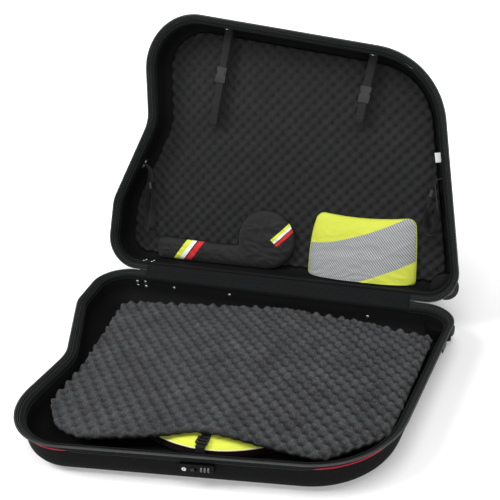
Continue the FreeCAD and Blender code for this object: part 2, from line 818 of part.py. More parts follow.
def make_slide(name, apex, sine, hand, drop):
    """Flat strap adjuster on the loop's inner leg."""
    cosine = math.sqrt(1 - sine**2)
    frame_box = part_box(
        name + "_slide_frame",
        "2 * sizes.strap_thickness + 2 * sizes.slide_bar",
        "sizes.slide_height",
        "sizes.strap_width + 2 * sizes.slide_bar",
    )
    hole = part_box(
        name + "_slide_hole",
        "sizes.strap_thickness + 2 * sizes.buckle_play",
        "2 * sizes.slide_height",
        "sizes.strap_width + 2 * sizes.buckle_play",
        z="sizes.slide_bar - sizes.buckle_play",
    )
    slide = part_cut(name + "_slide", frame_box, hole)
    along_leg = Vector(hand * sine, cosine, 0) * drop
    into_loop = Vector(-hand * cosine, sine, 0) * (STRAP / 2)
    spot = apex + along_leg + into_loop - Vector(0, 0, size("slide_bar"))
    turn = Rotation(Vector(0, 0, 1), -hand * math.degrees(math.asin(sine)))
    slide.Placement = HALF[LID].multiply(Placement(spot, turn))
    node(slide, name + "_strap_slide")


def make_ladder_lock():
    """Flat buckle on the wheel bag's strap, just in front of the foam sheet."""
    frame_box = part_box(
        "ladder_lock_frame",
        "sizes.strap_width + 2 * sizes.slide_bar",
        "sizes.ladder_lock_length",
        "sizes.ladder_lock_height",
    )
    slots = []
    for hand in (-1, 1):
        slots.append(
            part_box(
                "ladder_lock_slot_%d" % (hand + 1),
                "sizes.strap_width",
                "(sizes.ladder_lock_length - 3 * sizes.slide_bar) / 2",
                "2 * sizes.ladder_lock_height",
                y="%d * (sizes.ladder_lock_length - sizes.slide_bar) / 4" % hand,
                z="-sizes.ladder_lock_height / 2",
            )
        )
    lock = part_cut("ladder_lock", frame_box, part_fuse("ladder_lock_slots", slots))
    depth = BAG_TOP - STRAP - 2 * size("rest_gap")
    spot = point(size("bag_strap_x"), LOCK_V, depth, BASE)
    lock.Placement = HALF[BASE].multiply(Placement(spot, Rotation()))
    node(lock, "wheel_bag_ladder_lock")


# Rivets

RIVETS = {BASE: [], LID: []}


def add_rivet(side, frame):
    """A rivet whose shank points along the frame's Z from the head's seat."""
    radius = size("rivet_head_radius")
    height = size("rivet_head_height")
    head = Part.makeCylinder(radius, height, Vector(0, 0, -height))
    crown = [edge for edge in head.Edges if abs(edge.BoundBox.ZMax + height) < 1e-6]
    head = head.makeFillet(size("rivet_head_round"), crown)
    shank = Part.makeCylinder(size("rivet_shank_radius"), size("rivet_grip"))
    rivet = head.fuse(shank).removeSplitter()
    rivet.Placement = frame
    RIVETS[side].append(rivet)


def make_rivets():
    for side in (BASE, LID):
        shaped(side + "_rivets", Part.Compound(RIVETS[side]), HALF[side])


# Corner wheels

def along_hinge(x):
    """Distance along the hinge wall's straight stretch to a given x."""
    return x - RIM[HINGE_EDGE][0].x


def origin_plane(body, role):
    for feature in body.Origin.OriginFeatures:
        if feature.Role == role:
            return feature
    raise ValueError("no plane " + role)


def new_body(name):
    return doc.addObject("PartDesign::Body", name)


def new_sketch(body, name, x="0", y="0", z="0"):
    """A sketch parallel to the body's XY plane, with its origin at x, y and z."""
    sketch = body.newObject("Sketcher::SketchObject", name)
    sketch.AttachmentSupport = [(origin_plane(body, "XY_Plane"), "")]
    sketch.MapMode = "FlatFace"
    bind(sketch, AttachmentOffset__Base__x=x, AttachmentOffset__Base__y=y, AttachmentOffset__Base__z=z)
    return sketch


def add_circle(sketch, radius):
    index = sketch.addGeometry(Part.Circle(Vector(), Vector(0, 0, 1), 1 + sketch.GeometryCount))
    sketch.addConstraint(Sketcher.Constraint("Coincident", index, 3, -1, 1))
    datum = sketch.addConstraint(Sketcher.Constraint("Radius", index, 1 + sketch.GeometryCount))
    sketch.setExpression("Constraints[%d]" % datum, radius)


def add_rectangle(sketch, width, height):
    corners = [Vector(-5, -3), Vector(5, -3), Vector(5, 3), Vector(-5, 3)]
    for k in range(4):
        sketch.addGeometry(Part.LineSegment(corners[k], corners[(k + 1) % 4]))
    for k in range(4):
        sketch.addConstraint(Sketcher.Constraint("Coincident", k, 2, (k + 1) % 4, 1))
        sketch.addConstraint(Sketcher.Constraint("Horizontal" if k % 2 == 0 else "Vertical", k))
    sketch.addConstraint(Sketcher.Constraint("Symmetric", 0, 1, 2, 1, -1, 1))
    across = sketch.addConstraint(Sketcher.Constraint("DistanceX", 0, 1, 0, 2, 10))
    along = sketch.addConstraint(Sketcher.Constraint("DistanceY", 1, 1, 1, 2, 6))
    sketch.setExpression("Constraints[%d]" % across, width)
    sketch.setExpression("Constraints[%d]" % along, height)


def add_pad(body, sketch, length):
    pad = body.newObject("PartDesign::Pad", sketch.Name + "_pad")
    pad.Profile = sketch
    bind(pad, Length=length)
    doc.recompute()
    return pad


def add_pocket(body, sketch, length):
    before = body.Shape.Volume
    pocket = body.newObject("PartDesign::Pocket", sketch.Name + "_pocket")
    pocket.Profile = sketch
    bind(pocket, Length=length)
    doc.recompute()
    if body.Shape.Volume > before - 1e-3:
        raise ValueError(sketch.Name + " cuts nothing")
    return pocket


def add_fillet(body, feature, radius, wanted):
    names = []
    for k, edge in enumerate(feature.Shape.Edges, start=1):
        if wanted(edge):
            names.append("Edge%d" % k)
    fillet = body.newObject("PartDesign::Fillet", feature.Name + "_fillet")
    fillet.Base = (feature, names)
    bind(fillet, Radius=radius)
    doc.recompute()
    return fillet


def upright(edge):
    return edge.BoundBox.ZLength > 1e-3 and edge.BoundBox.XLength < 1e-6 and edge.BoundBox.YLength < 1e-6


def make_housing(side):
    """Cup set into the shell's corner, with cheeks for the axle and a guard plate round the corner."""
    near, far = wheel_band(side)
    v = size("wheel_v")
    wall = size("housing_wall")
    corner, corner_radius = RIM[RIGHT_EDGE][0], RIM[RIGHT_EDGE][1]
    limit = depth_cylinder(corner.x, corner.y, corner_radius - size("guard_inset"), near, far, side)
    cup = depth_cylinder(WHEEL_X, v, CUP_RADIUS, near, far, side).common(limit)
    outside = FLARE - SEW
    inside = outside - size("guard_thickness")
    plate = ring([(inside, near), (inside, far), (outside, far), (outside, near)], side)
    guard = block(size(side + "_guard_x"), size("hinge_right_x"), -1, size("guard_v"), near, far, side)
    cavity = depth_cylinder(WHEEL_X, v, CUP_RADIUS - wall, near + wall, far - wall, side)
    bore = depth_cylinder(WHEEL_X, v, size("axle_radius") + size("running_gap"), near - 1, far + 1, side)
    housing = cup.fuse(plate.common(guard)).cut(cavity).cut(bore)
    shaped(side + "_wheel_housing", housing.removeSplitter(), HALF[side])
    middle = (near + far) / 2
    for step in (-1, 1):
        depth = middle + step * (far - near) / 4
        along = (size("guard_v") - corner.y) / 2
        add_rivet(side, wall_frame(RIGHT_EDGE, along, WALL_IN, depth, side))
    if side == BASE:
        end = along_hinge(size("base_guard_x") + size("grab_tab"))
        add_rivet(side, wall_frame(HINGE_EDGE, end, WALL_IN, middle, side))


def make_wheel(side):
    name = side + "_wheel"
    middle = size(name + "_depth")
    frame = HALF[side].multiply(Placement(point(WHEEL_X, size("wheel_v"), middle, side), Rotation()))
    low = "-sizes.wheel_width / 2"

    tyre = new_body(name + "_tyre")
    outline = new_sketch(tyre, name + "_tyre_outline", z=low)
    add_circle(outline, "sizes.wheel_radius")
    add_circle(outline, "sizes.hub_radius + sizes.sew_gap")
    pad = add_pad(tyre, outline, "sizes.wheel_width")
    middle_radius = (size("wheel_radius") + size("hub_radius")) / 2

    def tread_rim(edge):
        return len(edge.Vertexes) == 1 and edge.BoundBox.XMax > middle_radius

    add_fillet(tyre, pad, "sizes.tyre_round", tread_rim)
    tyre.Placement = frame
    node(tyre, name + "_tyre")

    hub = new_body(name + "_hub")
    outline = new_sketch(hub, name + "_hub_outline", z=low)
    add_circle(outline, "sizes.hub_radius")
    add_circle(outline, "sizes.bearing_radius + sizes.sew_gap")
    add_pad(hub, outline, "sizes.wheel_width")
    hole = new_sketch(
        hub, name + "_hub_hole", x="(sizes.hub_radius + sizes.bearing_radius) / 2", z="sizes.wheel_width / 2"
    )
    add_circle(hole, "(sizes.hub_radius - sizes.bearing_radius) / 4")
    pocket = add_pocket(hub, hole, "sizes.wheel_width")
    pattern = hub.newObject("PartDesign::PolarPattern", name + "_hub_holes")
    pattern.Originals = [pocket]
    axis = [feature for feature in hub.Origin.OriginFeatures if feature.Role == "Z_Axis"][0]
    pattern.Axis = (axis, [""])
    pattern.Angle = 360
    pattern.Occurrences = 6
    hub.Tip = pattern
    hub.Placement = frame
    node(hub, name + "_hub")

    races = []
    for hand in (-1, 1):
        race = part_cylinder(
            name + "_race_%d" % (hand + 1),
            "sizes.bearing_radius",
            "sizes.bearing_width",
            z="%d * (sizes.wheel_width - sizes.bearing_width) / 2 - sizes.bearing_width / 2" % hand,
        )
        bore = part_cylinder(
            name + "_race_bore_%d" % (hand + 1),
            "sizes.axle_radius + sizes.running_gap",
            "2 * sizes.wheel_width",
            z="-sizes.wheel_width",
        )
        races.append(part_cut(name + "_bearing_%d" % (hand + 1), race, bore))
    bearings = doc.addObject("Part::Compound", name + "_bearings")
    bearings.Links = races
    bearings.Placement = frame
    node(bearings, name + "_bearings")

    band = "(sizes.wheel_width / 2 + sizes.wheel_side_gap + sizes.housing_wall + sizes.sew_gap)"
    pieces = [part_cylinder(name + "_axle_shaft", "sizes.axle_radius", "2 * " + band, z="-" + band)]
    head_radius = "sizes.axle_head_radius"
    pieces.append(part_cylinder(name + "_axle_head_0", head_radius, "sizes.axle_head_height", z=band))
    pieces.append(
        part_cylinder(
            name + "_axle_head_1",
            head_radius,
            "sizes.axle_head_height",
            z="-%s - sizes.axle_head_height" % band,
        )
    )
    axle = part_fuse(name + "_axle", pieces)
    axle.Placement = frame
    node(axle, name + "_axle")


# Feet and handles


def make_foot(side):
    """Foot on the hinge wall. The two halves' feet meet behind the hinge and stop the lid."""
    meeting = math.radians(180 - size("open_angle")) / 2
    near = (size("foot_reach") + size("stop_gap")) / math.tan(meeting)
    middle = near + size("foot_depth") / 2
    wall = wall_frame(HINGE_EDGE, along_hinge(size("foot_x")), FLARE - SEW, middle, side)
    name = side + "_foot"
    foot = new_body(name)
    outline = new_sketch(foot, name + "_outline")
    add_rectangle(outline, "sizes.foot_length", "sizes.foot_depth")
    pad = add_pad(foot, outline, "sizes.flare - sizes.sew_gap + sizes.foot_reach")
    add_fillet(foot, pad, "sizes.foot_round", upright)
    foot.Placement = HALF[side].multiply(wall)
    node(foot, name)
    for step_x in (-1, 1):
        for step_depth in (-1, 1):
            x = size("foot_x") + step_x * size("foot_length") / 4
            depth = middle + step_depth * size("foot_depth") / 4
            add_rivet(side, wall_frame(HINGE_EDGE, along_hinge(x), WALL_IN, depth, side))


def make_grab_handle():
    """Webbing grip on the base's hinge wall, bowed outwards for the fingers."""
    wall = wall_frame(HINGE_EDGE, along_hinge(size("grab_x")), FLARE - SEW, size("grab_depth"), BASE)
    thick = size("grab_thickness")
    rise = size("grab_rise")
    half = size("grab_spacing") / 2
    tab = size("grab_tab")
    ramp = 2 * rise
    lower = [(half + tab, 0), (half - tab, 0), (half - tab - ramp, rise)]
    bend = half - tab + thick / 2
    upper = [(bend - ramp, rise + thick), (bend, thick), (half + tab, thick)]
    width = size("strap_width")
    side = -width / 2
    corners = [Vector(x, side, z) for x, z in lower]
    corners += [Vector(-x, side, z) for x, z in reversed(lower)]
    corners += [Vector(-x, side, z) for x, z in reversed(upper)]
    corners += [Vector(x, side, z) for x, z in upper]
    grip = Part.Face(Part.makePolygon(corners + corners[:1])).extrude(Vector(0, width, 0))
    shaped("grab_handle", grip, HALF[BASE].multiply(wall))
    for step in (-1, 1):
        x = size("grab_x") + step * half
        add_rivet(BASE, wall_frame(HINGE_EDGE, along_hinge(x), WALL_IN, size("grab_depth"), BASE))


CAP_HEIGHT = "(sizes.cap_lip + sizes.flange_height + sizes.handle_travel + 2 * sizes.leg_play)"


TURNED_OVER = Rotation(Vector(1, 0, 0), 180)  # rivets set from outside, into the wall


def make_carry_handle():
    """Grip that pulls out of two end caps on the lid's front wall."""
    wall = wall_frame(FRONT_EDGE, along_front(size("handle_x")), FLARE - SEW, size("handle_depth"), LID)
    frame = HALF[LID].multiply(wall)
    caps = []
    for hand in (-1, 1):
        tag = "cap_%d_" % (hand + 1)
        middle = "%d * sizes.handle_span / 2" % hand
        shell = part_fuse(
            tag + "shell",
            [
                part_box(tag + "body", "sizes.cap_length", "sizes.cap_width", CAP_HEIGHT, x=middle),
                part_box(
                    tag + "tab",
                    "sizes.cap_length + 2 * sizes.cap_tab",
                    "sizes.cap_width",
                    "sizes.cap_wall",
                    x=middle,
                ),
            ],
        )
        hollow = part_fuse(
            tag + "hollow",
            [
                part_box(
                    tag + "cavity",
                    "sizes.cap_length - 2 * sizes.cap_wall",
                    "sizes.cap_width - 2 * sizes.cap_wall",
                    CAP_HEIGHT + " - sizes.cap_lip",
                    x=middle,
                ),
                part_box(
                    tag + "slot",
                    "sizes.leg_length + 2 * sizes.leg_play",
                    "sizes.leg_width + 2 * sizes.leg_play",
                    "2 * " + CAP_HEIGHT,
                    x=middle,
                ),
            ],
        )
        caps.append(part_cut(tag + "cut", shell, hollow))
    both = doc.addObject("Part::Compound", "handle_caps")
    both.Links = caps
    both.Placement = frame
    node(both, "handle_end_caps")

    handle = new_body("handle")
    outline = new_sketch(handle, "handle_bar", z=CAP_HEIGHT + " + sizes.leg_play")
    add_rectangle(outline, "sizes.handle_span + 2 * sizes.leg_length", "sizes.handle_width")
    bar = add_pad(handle, outline, "sizes.handle_thickness")
    add_fillet(handle, bar, "sizes.handle_round", lambda edge: True)
    for hand in (-1, 1):
        middle = "%d * sizes.handle_span / 2" % hand
        leg = new_sketch(handle, "handle_leg_%d" % (hand + 1), x=middle, z="sizes.leg_play")
        add_rectangle(leg, "sizes.leg_length", "sizes.leg_width")
        add_pad(handle, leg, CAP_HEIGHT + " + sizes.handle_thickness / 2")
        flange = new_sketch(handle, "handle_flange_%d" % (hand + 1), x=middle, z="sizes.leg_play")
        add_rectangle(
            flange,
            "(sizes.leg_length + sizes.cap_length - 2 * sizes.cap_wall) / 2",
            "(sizes.leg_width + sizes.cap_width - 2 * sizes.cap_wall) / 2",
        )
        add_pad(handle, flange, "sizes.flange_height")
        for step in (-1, 1):
            reach = size("handle_span") / 2 + step * (size("cap_length") + size("cap_tab")) / 2
            add_rivet(LID, wall.multiply(Placement(Vector(hand * reach, 0, size("cap_wall")), TURNED_OVER)))
    handle.Placement = frame
    node(handle, "carry_handle")


# Combination lock


def make_lock():
    wall = wall_frame(FRONT_EDGE, along_front(size("lock_x")), FLARE - SEW, size("lock_depth"), BASE)
    frame = HALF[BASE].multiply(wall)
    face = "sizes.lock_height"
    case = new_body("lock_body")
    outline = new_sketch(case, "lock_outline")
    add_rectangle(outline, "sizes.lock_length", "sizes.lock_width")
    pad = add_pad(case, outline, face)
    add_fillet(case, pad, "sizes.lock_round", upright)
    dial_names = ("left", "middle", "right")
    for k, name in enumerate(dial_names):
        x = "sizes.dial_x + %d * sizes.dial_pitch" % (k - 1)
        window = new_sketch(case, "dial_window_" + name, x=x, z=face)
        add_rectangle(
            window, "sizes.dial_width + 2 * sizes.dial_play", "2 * sizes.dial_radius + 2 * sizes.dial_play"
        )
        add_pocket(case, window, "sizes.dial_sink + sizes.dial_radius + sizes.dial_play")
    window = new_sketch(case, "button_window", x="sizes.button_x + sizes.button_travel / 2", z=face)
    add_rectangle(
        window,
        "sizes.button_length + sizes.button_travel + 2 * sizes.dial_play",
        "sizes.button_width + 2 * sizes.dial_play",
    )
    add_pocket(case, window, "sizes.button_sink + sizes.dial_play")
    window = new_sketch(case, "key_hole", x="sizes.key_x", z=face)
    add_circle(window, "sizes.key_radius + sizes.running_gap")
    add_pocket(case, window, "sizes.key_sink + sizes.dial_play")
    case.Placement = frame
    node(case, "lock_case")

    sideways = Rotation(Vector(0, 1, 0), 90)
    axis_height = size("lock_height") - size("dial_sink")
    axle = doc.addObject("Part::Cylinder", "dial_axle")
    bind(axle, Radius="sizes.dial_axle_radius", Height="4 * sizes.dial_pitch")
    start = Vector(size("dial_x") - 2 * size("dial_pitch"), 0, axis_height)
    axle.Placement = frame.multiply(Placement(start, sideways))
    node(axle, "lock_dial_axle")
    for k, name in enumerate(dial_names):
        ring_outside = doc.addObject("Part::Prism", "dial_outside_" + name)
        ring_outside.Polygon = 10
        bind(ring_outside, Circumradius="sizes.dial_radius", Height="sizes.dial_width")
        bore = part_cylinder(
            "dial_bore_" + name,
            "sizes.dial_axle_radius + sizes.running_gap",
            "2 * sizes.dial_width",
            z="-sizes.dial_width / 2",
        )
        dial = part_cut("dial_" + name, ring_outside, bore)
        x = size("dial_x") + (k - 1) * size("dial_pitch") - size("dial_width") / 2
        dial.Placement = frame.multiply(Placement(Vector(x, 0, axis_height), sideways))
        node(dial, "lock_dial_" + name)

    button = part_box(
        "button",
        "sizes.button_length",
        "sizes.button_width",
        "sizes.button_sink + sizes.button_proud",
    )
    grip = part_box(
        "button_grip",
        "sizes.button_length / 3",
        "2 * sizes.button_width",
        "sizes.button_proud",
        z="sizes.button_sink + sizes.button_proud / 2",
    )
    notched = part_cut("button_notched", button, grip)
    spot = Vector(size("button_x"), 0, size("lock_height") - size("button_sink"))
    notched.Placement = frame.multiply(Placement(spot, Rotation()))
    node(notched, "lock_button")

    barrel = part_cylinder("key_barrel", "sizes.key_radius", "sizes.key_sink + sizes.key_proud")
    keyway = part_box(
        "keyway",
        "sizes.keyway_width",
        "sizes.keyway_length",
        "2 * sizes.keyway_depth",
        z="sizes.key_sink + sizes.key_proud - sizes.keyway_depth",
    )
    plug = part_cut("key_plug", barrel, keyway)
    spot = Vector(size("key_x"), 0, size("lock_height") - size("key_sink"))
    plug.Placement = frame.multiply(Placement(spot, Rotation()))
    node(plug, "lock_key_barrel")


# Zip sliders and pulls


def make_slider(name, x, pull_hand):
    """Slider that hugs the base's zip row from outside and below, and its swinging pull."""
    top = "-(sizes.parting_gap + sizes.slider_drop)"
    row_low = "-(sizes.parting_gap + sizes.tooth_height + sizes.slider_play)"
    floor = "(%s - sizes.slider_plate)" % row_low
    tall = "(%s - %s)" % (top, floor)
    plate_y = "(sizes.slider_play + sizes.slider_plate / 2)"
    pin_y = "(sizes.slider_play + sizes.slider_plate + sizes.slider_play + sizes.pull_eye_radius)"
    ear_low_y = "(sizes.slider_play + sizes.slider_plate / 2)"
    ear_width = "(%s + sizes.pull_pin_radius - %s)" % (pin_y, ear_low_y)
    ear_y = "(%s + %s / 2)" % (ear_low_y, ear_width)
    span = "(sizes.tooth_width + 2 * sizes.slider_play + sizes.slider_plate)"
    pieces = [
        part_box(name + "_outer", "sizes.slider_length", "sizes.slider_plate", tall, y=plate_y, z=floor),
        part_box(
            name + "_under",
            "sizes.slider_length",
            span,
            "sizes.slider_plate",
            y="sizes.slider_play + sizes.slider_plate - %s / 2" % span,
            z=floor,
        ),
        part_cylinder(name + "_pin", "sizes.pull_pin_radius", tall, y=pin_y, z=floor),
        part_box(name + "_ear_low", "2 * sizes.pull_eye_radius", ear_width, "sizes.pull_ear", y=ear_y, z=floor),
        part_box(
            name + "_ear_high",
            "2 * sizes.pull_eye_radius",
            ear_width,
            "sizes.pull_ear",
            y=ear_y,
            z="%s - sizes.pull_ear" % top,
        ),
    ]
    slider = part_fuse(name, pieces)
    frame = HALF[BASE].multiply(Placement(Vector(x, 0, 0), Rotation()))
    slider.Placement = frame
    node(slider, name + "_zip_slider")

    eye_tall = "(%s - 2 * sizes.pull_ear - sizes.slider_play)" % tall
    eye_low = "(%s + sizes.pull_ear + sizes.slider_play / 2)" % floor
    neck = "(sizes.pull_eye_radius + sizes.slider_play + 2)"
    eye = part_cylinder(name + "_eye", "sizes.pull_eye_radius", eye_tall, y=pin_y, z=eye_low)
    link = part_box(
        name + "_link",
        neck,
        "sizes.pull_thickness",
        eye_tall,
        x="%d * %s / 2" % (pull_hand, neck),
        y=pin_y,
        z=eye_low,
    )
    tab = part_box(
        name + "_tab",
        "sizes.pull_length - %s" % neck,
        "sizes.pull_thickness",
        "sizes.pull_width",
        x="%d * (sizes.pull_length + %s) / 2" % (pull_hand, neck),
        y=pin_y,
        z="%s + %s / 2 - sizes.pull_width / 2" % (eye_low, eye_tall),
    )
    bore = part_cylinder(
        name + "_bore", "sizes.pull_pin_radius + sizes.running_gap", "3 * " + tall, y=pin_y, z="2 * " + floor
    )
    pull = part_cut(name + "_pull", part_fuse(name + "_pull_body", [eye, link, tab]), bore)
    pull.Placement = frame
    node(pull, name + "_zip_pull")


# Blank care label


def make_label():
    wall = wall_frame(RIGHT_EDGE, size("label_place"), WALL_IN + SEW, size("label_depth"), LID)
    label = part_box(
        "label",
        "sizes.label_height",
        "sizes.label_thickness",
        "sizes.label_reach",
        z="-sizes.label_reach",
    )
    label_frame = doc.addObject("Part::Compound", "label_group")
    label_frame.Links = [label]
    label_frame.Placement = HALF[LID].multiply(wall)
    node(label_frame, "care_label")


# The whole case

for half in (BASE, LID):
    make_shell(half)
    make_rim(half)
    make_housing(half)
    make_wheel(half)
    make_foot(half)
make_lid_foam()
make_base_foam()
make_wheel_bag()
make_bag_strap()
make_ladder_lock()
make_pouch()
make_cover()
make_hanging_loop("seat", size("seat_strap_x"), size("seat_strap_length"), size("seat_buckle_drop"))
make_hanging_loop("head", size("head_strap_x"), size("head_strap_length"), size("head_buckle_drop"))
make_side_loop("left", SLOPE_EDGE, size("left_strap_place"), size("left_strap_length"))
make_side_loop("right", RIGHT_EDGE, size("right_strap_place"), size("right_strap_length"))
make_label()
make_grab_handle()
make_carry_handle()
make_lock()
slider_park = size("slider_length") / 2 + size("tooth_width")
make_slider("left", size("hinge_strip_left") - slider_park, 1)
make_slider("right", size("hinge_strip_right") + slider_park, -1)
make_rivets()

doc.recompute()
for feature in doc.Objects:
    for state in feature.State:
        if state in ("Invalid", "Error"):
            raise RuntimeError("%s is %s" % (feature.Label, state))
for feature in NODES:
    if feature.Shape.isNull() or not feature.Shape.isValid():
        raise RuntimeError("%s has no valid shape" % feature.Label)
for feature in NODES:
    feature.Shape.exportStep("parts/%s.step" % feature.Label)
    print(feature.Label, len(feature.Shape.Solids), round(feature.Shape.Volume / 1000, 2))
print(len(NODES), "nodes")
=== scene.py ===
from math import acos, asin, cos, pi, radians, sin, sqrt, tan

import bmesh
import bpy
import numpy as np
from mathutils import Matrix, Vector, noise
from numpy.linalg import norm


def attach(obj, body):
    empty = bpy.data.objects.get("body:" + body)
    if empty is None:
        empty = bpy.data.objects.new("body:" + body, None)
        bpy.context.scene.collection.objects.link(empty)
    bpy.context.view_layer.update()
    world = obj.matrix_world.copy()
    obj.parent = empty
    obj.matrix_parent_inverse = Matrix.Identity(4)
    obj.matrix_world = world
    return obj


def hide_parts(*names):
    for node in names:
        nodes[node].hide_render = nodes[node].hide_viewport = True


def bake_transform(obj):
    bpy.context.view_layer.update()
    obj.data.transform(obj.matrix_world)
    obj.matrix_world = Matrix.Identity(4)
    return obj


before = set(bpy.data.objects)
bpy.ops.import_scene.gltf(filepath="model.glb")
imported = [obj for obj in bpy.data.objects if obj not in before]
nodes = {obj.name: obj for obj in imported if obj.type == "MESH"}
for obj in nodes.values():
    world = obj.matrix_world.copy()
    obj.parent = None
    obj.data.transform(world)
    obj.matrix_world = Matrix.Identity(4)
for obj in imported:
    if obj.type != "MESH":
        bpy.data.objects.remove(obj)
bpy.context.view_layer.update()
MM = 0.001

# The case's own frame: x along the hinge, v from the hinge line to the front edge, d from the parting plane.

BASE = "base"
LID = "lid"
BASE_DEPTH = 112.0
HINGE = Vector((0, 430, BASE_DEPTH))
OPEN = radians(105)
SINE, COSINE = sin(OPEN), cos(OPEN)


def place(side, x, v, d):
    """A point of a half's frame, millimetres, in the row frame, metres."""
    if side == BASE:
        return Vector((x, HINGE.y - v, HINGE.z - d)) * MM
    return Vector((x, HINGE.y - v * COSINE + d * SINE, HINGE.z + v * SINE + d * COSINE)) * MM


CORNERS = [
    ((600, 0), 95),
    ((475, 738), 262),
    ((-490, 900), 170),
    ((-471, 524), 130),
    ((-610, 247), 130),
    ((-642, 0), 107),
]
WALL_INSET = 25.1  # of the shell's inner face, from the rim line


def unit(vector):
    return vector / norm(vector)


def wall(k):
    """Direction and outward normal of the straight wall after a corner."""
    count = len(CORNERS)
    direction = unit(np.subtract(CORNERS[(k + 1) % count][0], CORNERS[k % count][0]))
    return direction, np.array([direction[1], -direction[0]])


def wall_spot(k, along):
    """A point of the rim line at a distance from a corner's arc, with its wall's direction and normal."""
    corner, radius = CORNERS[k]
    direction, normal = wall(k)
    turn = acos(float(wall(k - 1)[0].dot(direction)))
    return np.array(corner) + direction * (radius * tan(turn / 2) + along), direction, normal


def rim_path(inset, step):
    """The rim line moved inwards, as points (x, v) with outward normals and the distance along the rim line."""
    arcs = []
    for k, (corner, radius) in enumerate(CORNERS):
        before, normal_in = wall(k - 1)
        after, normal_out = wall(k)
        sign = 1.0 if before[0] * after[1] - before[1] * after[0] > 0 else -1.0
        middle = unit(normal_in + normal_out)
        centre = np.array(corner) - sign * middle * radius / middle.dot(normal_in)
        turn = acos(float(np.clip(normal_in.dot(normal_out), -1, 1)))
        arcs.append((centre, radius, sign, normal_in, normal_out, turn))
    spots = []
    along = 0.0
    for k, (centre, radius, sign, normal_in, normal_out, turn) in enumerate(arcs):
        pieces = max(4, int(turn * max(radius, radius - sign * inset) / step))
        for j in range(pieces):
            share = j / pieces
            normal = normal_in * sin((1 - share) * turn) + normal_out * sin(share * turn)
            normal /= sin(turn)
            spots.append((centre + normal * (sign * radius - inset), normal, along + share * turn * radius))
        along += turn * radius
        following = arcs[(k + 1) % len(arcs)]
        start = centre + normal_out * sign * radius
        end = following[0] + following[3] * following[2] * following[1]
        length = norm(end - start)
        straight = max(2, int(length / step))
        direction = (end - start) / length
        for j in range(straight):
            spot = start + direction * length * j / straight - normal_out * inset
            spots.append((spot, normal_out, along + length * j / straight))
        along += length
    return spots


def mesh_piece(name, verts, faces, material, body=None, smooth=True):
    """A mesh with its faces turned outwards, riding on a body if one is given."""
    mesh = bpy.data.meshes.new(name)
    mesh.from_pydata([tuple(v) for v in verts], [], faces)
    data = bmesh.new()
    data.from_mesh(mesh)
    bmesh.ops.recalc_face_normals(data, faces=data.faces)
    data.to_mesh(mesh)
    data.free()
    if smooth:
        mesh.polygons.foreach_set("use_smooth", [True] * len(mesh.polygons))
    mesh.materials.append(material)
    piece = bpy.data.objects.new(name, mesh)
    bpy.context.scene.collection.objects.link(piece)
    if body:
        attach(piece, body)
    return piece


def join(first, *others):
    """Puts other meshes into the first piece's mesh."""
    data = bmesh.new()
    data.from_mesh(first.data)
    for other in others:
        data.from_mesh(other.data)
        bpy.data.objects.remove(other)
    data.to_mesh(first.data)
    data.free()
    return first


def strip_faces(rows, columns, close_rows=False, close_columns=False):
    """Quads of a grid of rows by columns points, counted row by row."""
    faces = []
    for i in range(rows if close_rows else rows - 1):
        for j in range(columns if close_columns else columns - 1):
            row, following = i * columns, (i + 1) % rows * columns
            beside = (j + 1) % columns
            faces.append((row + j, row + beside, following + beside, following + j))
    return faces


def capped_faces(rows, columns):
    """Faces of a row of closed outlines, with a face over each end."""
    ends = [tuple(range(columns)), tuple(range((rows - 1) * columns, rows * columns))]
    return strip_faces(rows, columns, False, True) + ends


def cushion_faces(rows, columns):
    """Faces of two grids sewn together round their border, and the border's points in the first grid."""
    count = rows * columns
    faces = strip_faces(rows, columns)
    faces += [tuple(count + c for c in reversed(face)) for face in faces]
    border = list(range(columns)) + [columns * j + columns - 1 for j in range(1, rows)]
    border += [columns * (rows - 1) + i for i in range(columns - 2, -1, -1)]
    border += [columns * j for j in range(rows - 2, 0, -1)]
    for a, b in zip(border, border[1:] + border[:1]):
        faces.append((b, a, a + count, b + count))
    return faces, border


def heading(points, k):
    """Direction of a row of points at one of them."""
    return (points[min(k + 1, len(points) - 1)] - points[max(k - 1, 0)]).normalized()


def circle(count):
    return [2 * pi * k / count for k in range(count)]


def smooth_step(low, high, value):
    t = np.clip((value - low) / (high - low), 0, 1)
    return t * t * (3 - 2 * t)


def wobble(value, seed, scale):
    return noise.noise(Vector((value / scale, 7.13 * seed, 3.71 * seed)))


def ripple(x, v, length, width, seed):
    return noise.noise(Vector((x / length, v / width, seed)))


# Materials


SEEN = ("Camera", "Glossy", "Transmission")


def operation(kind, swapped=False):
    """The node that a sign between two shader values stands for."""

    def apply(first, second):
        return first.shader.math(kind, *((second, first) if swapped else (first, second)))

    return apply


class Value:
    """An output of a shader's node, to be used in formulas."""

    def __init__(self, shader, socket):
        self.shader = shader
        self.socket = socket

    __add__ = __radd__ = operation("ADD")
    __mul__ = __rmul__ = operation("MULTIPLY")
    __sub__ = operation("SUBTRACT")
    __rsub__ = operation("SUBTRACT", swapped=True)
    __truediv__ = operation("DIVIDE")
    __lt__ = operation("LESS_THAN")
    __gt__ = operation("GREATER_THAN")


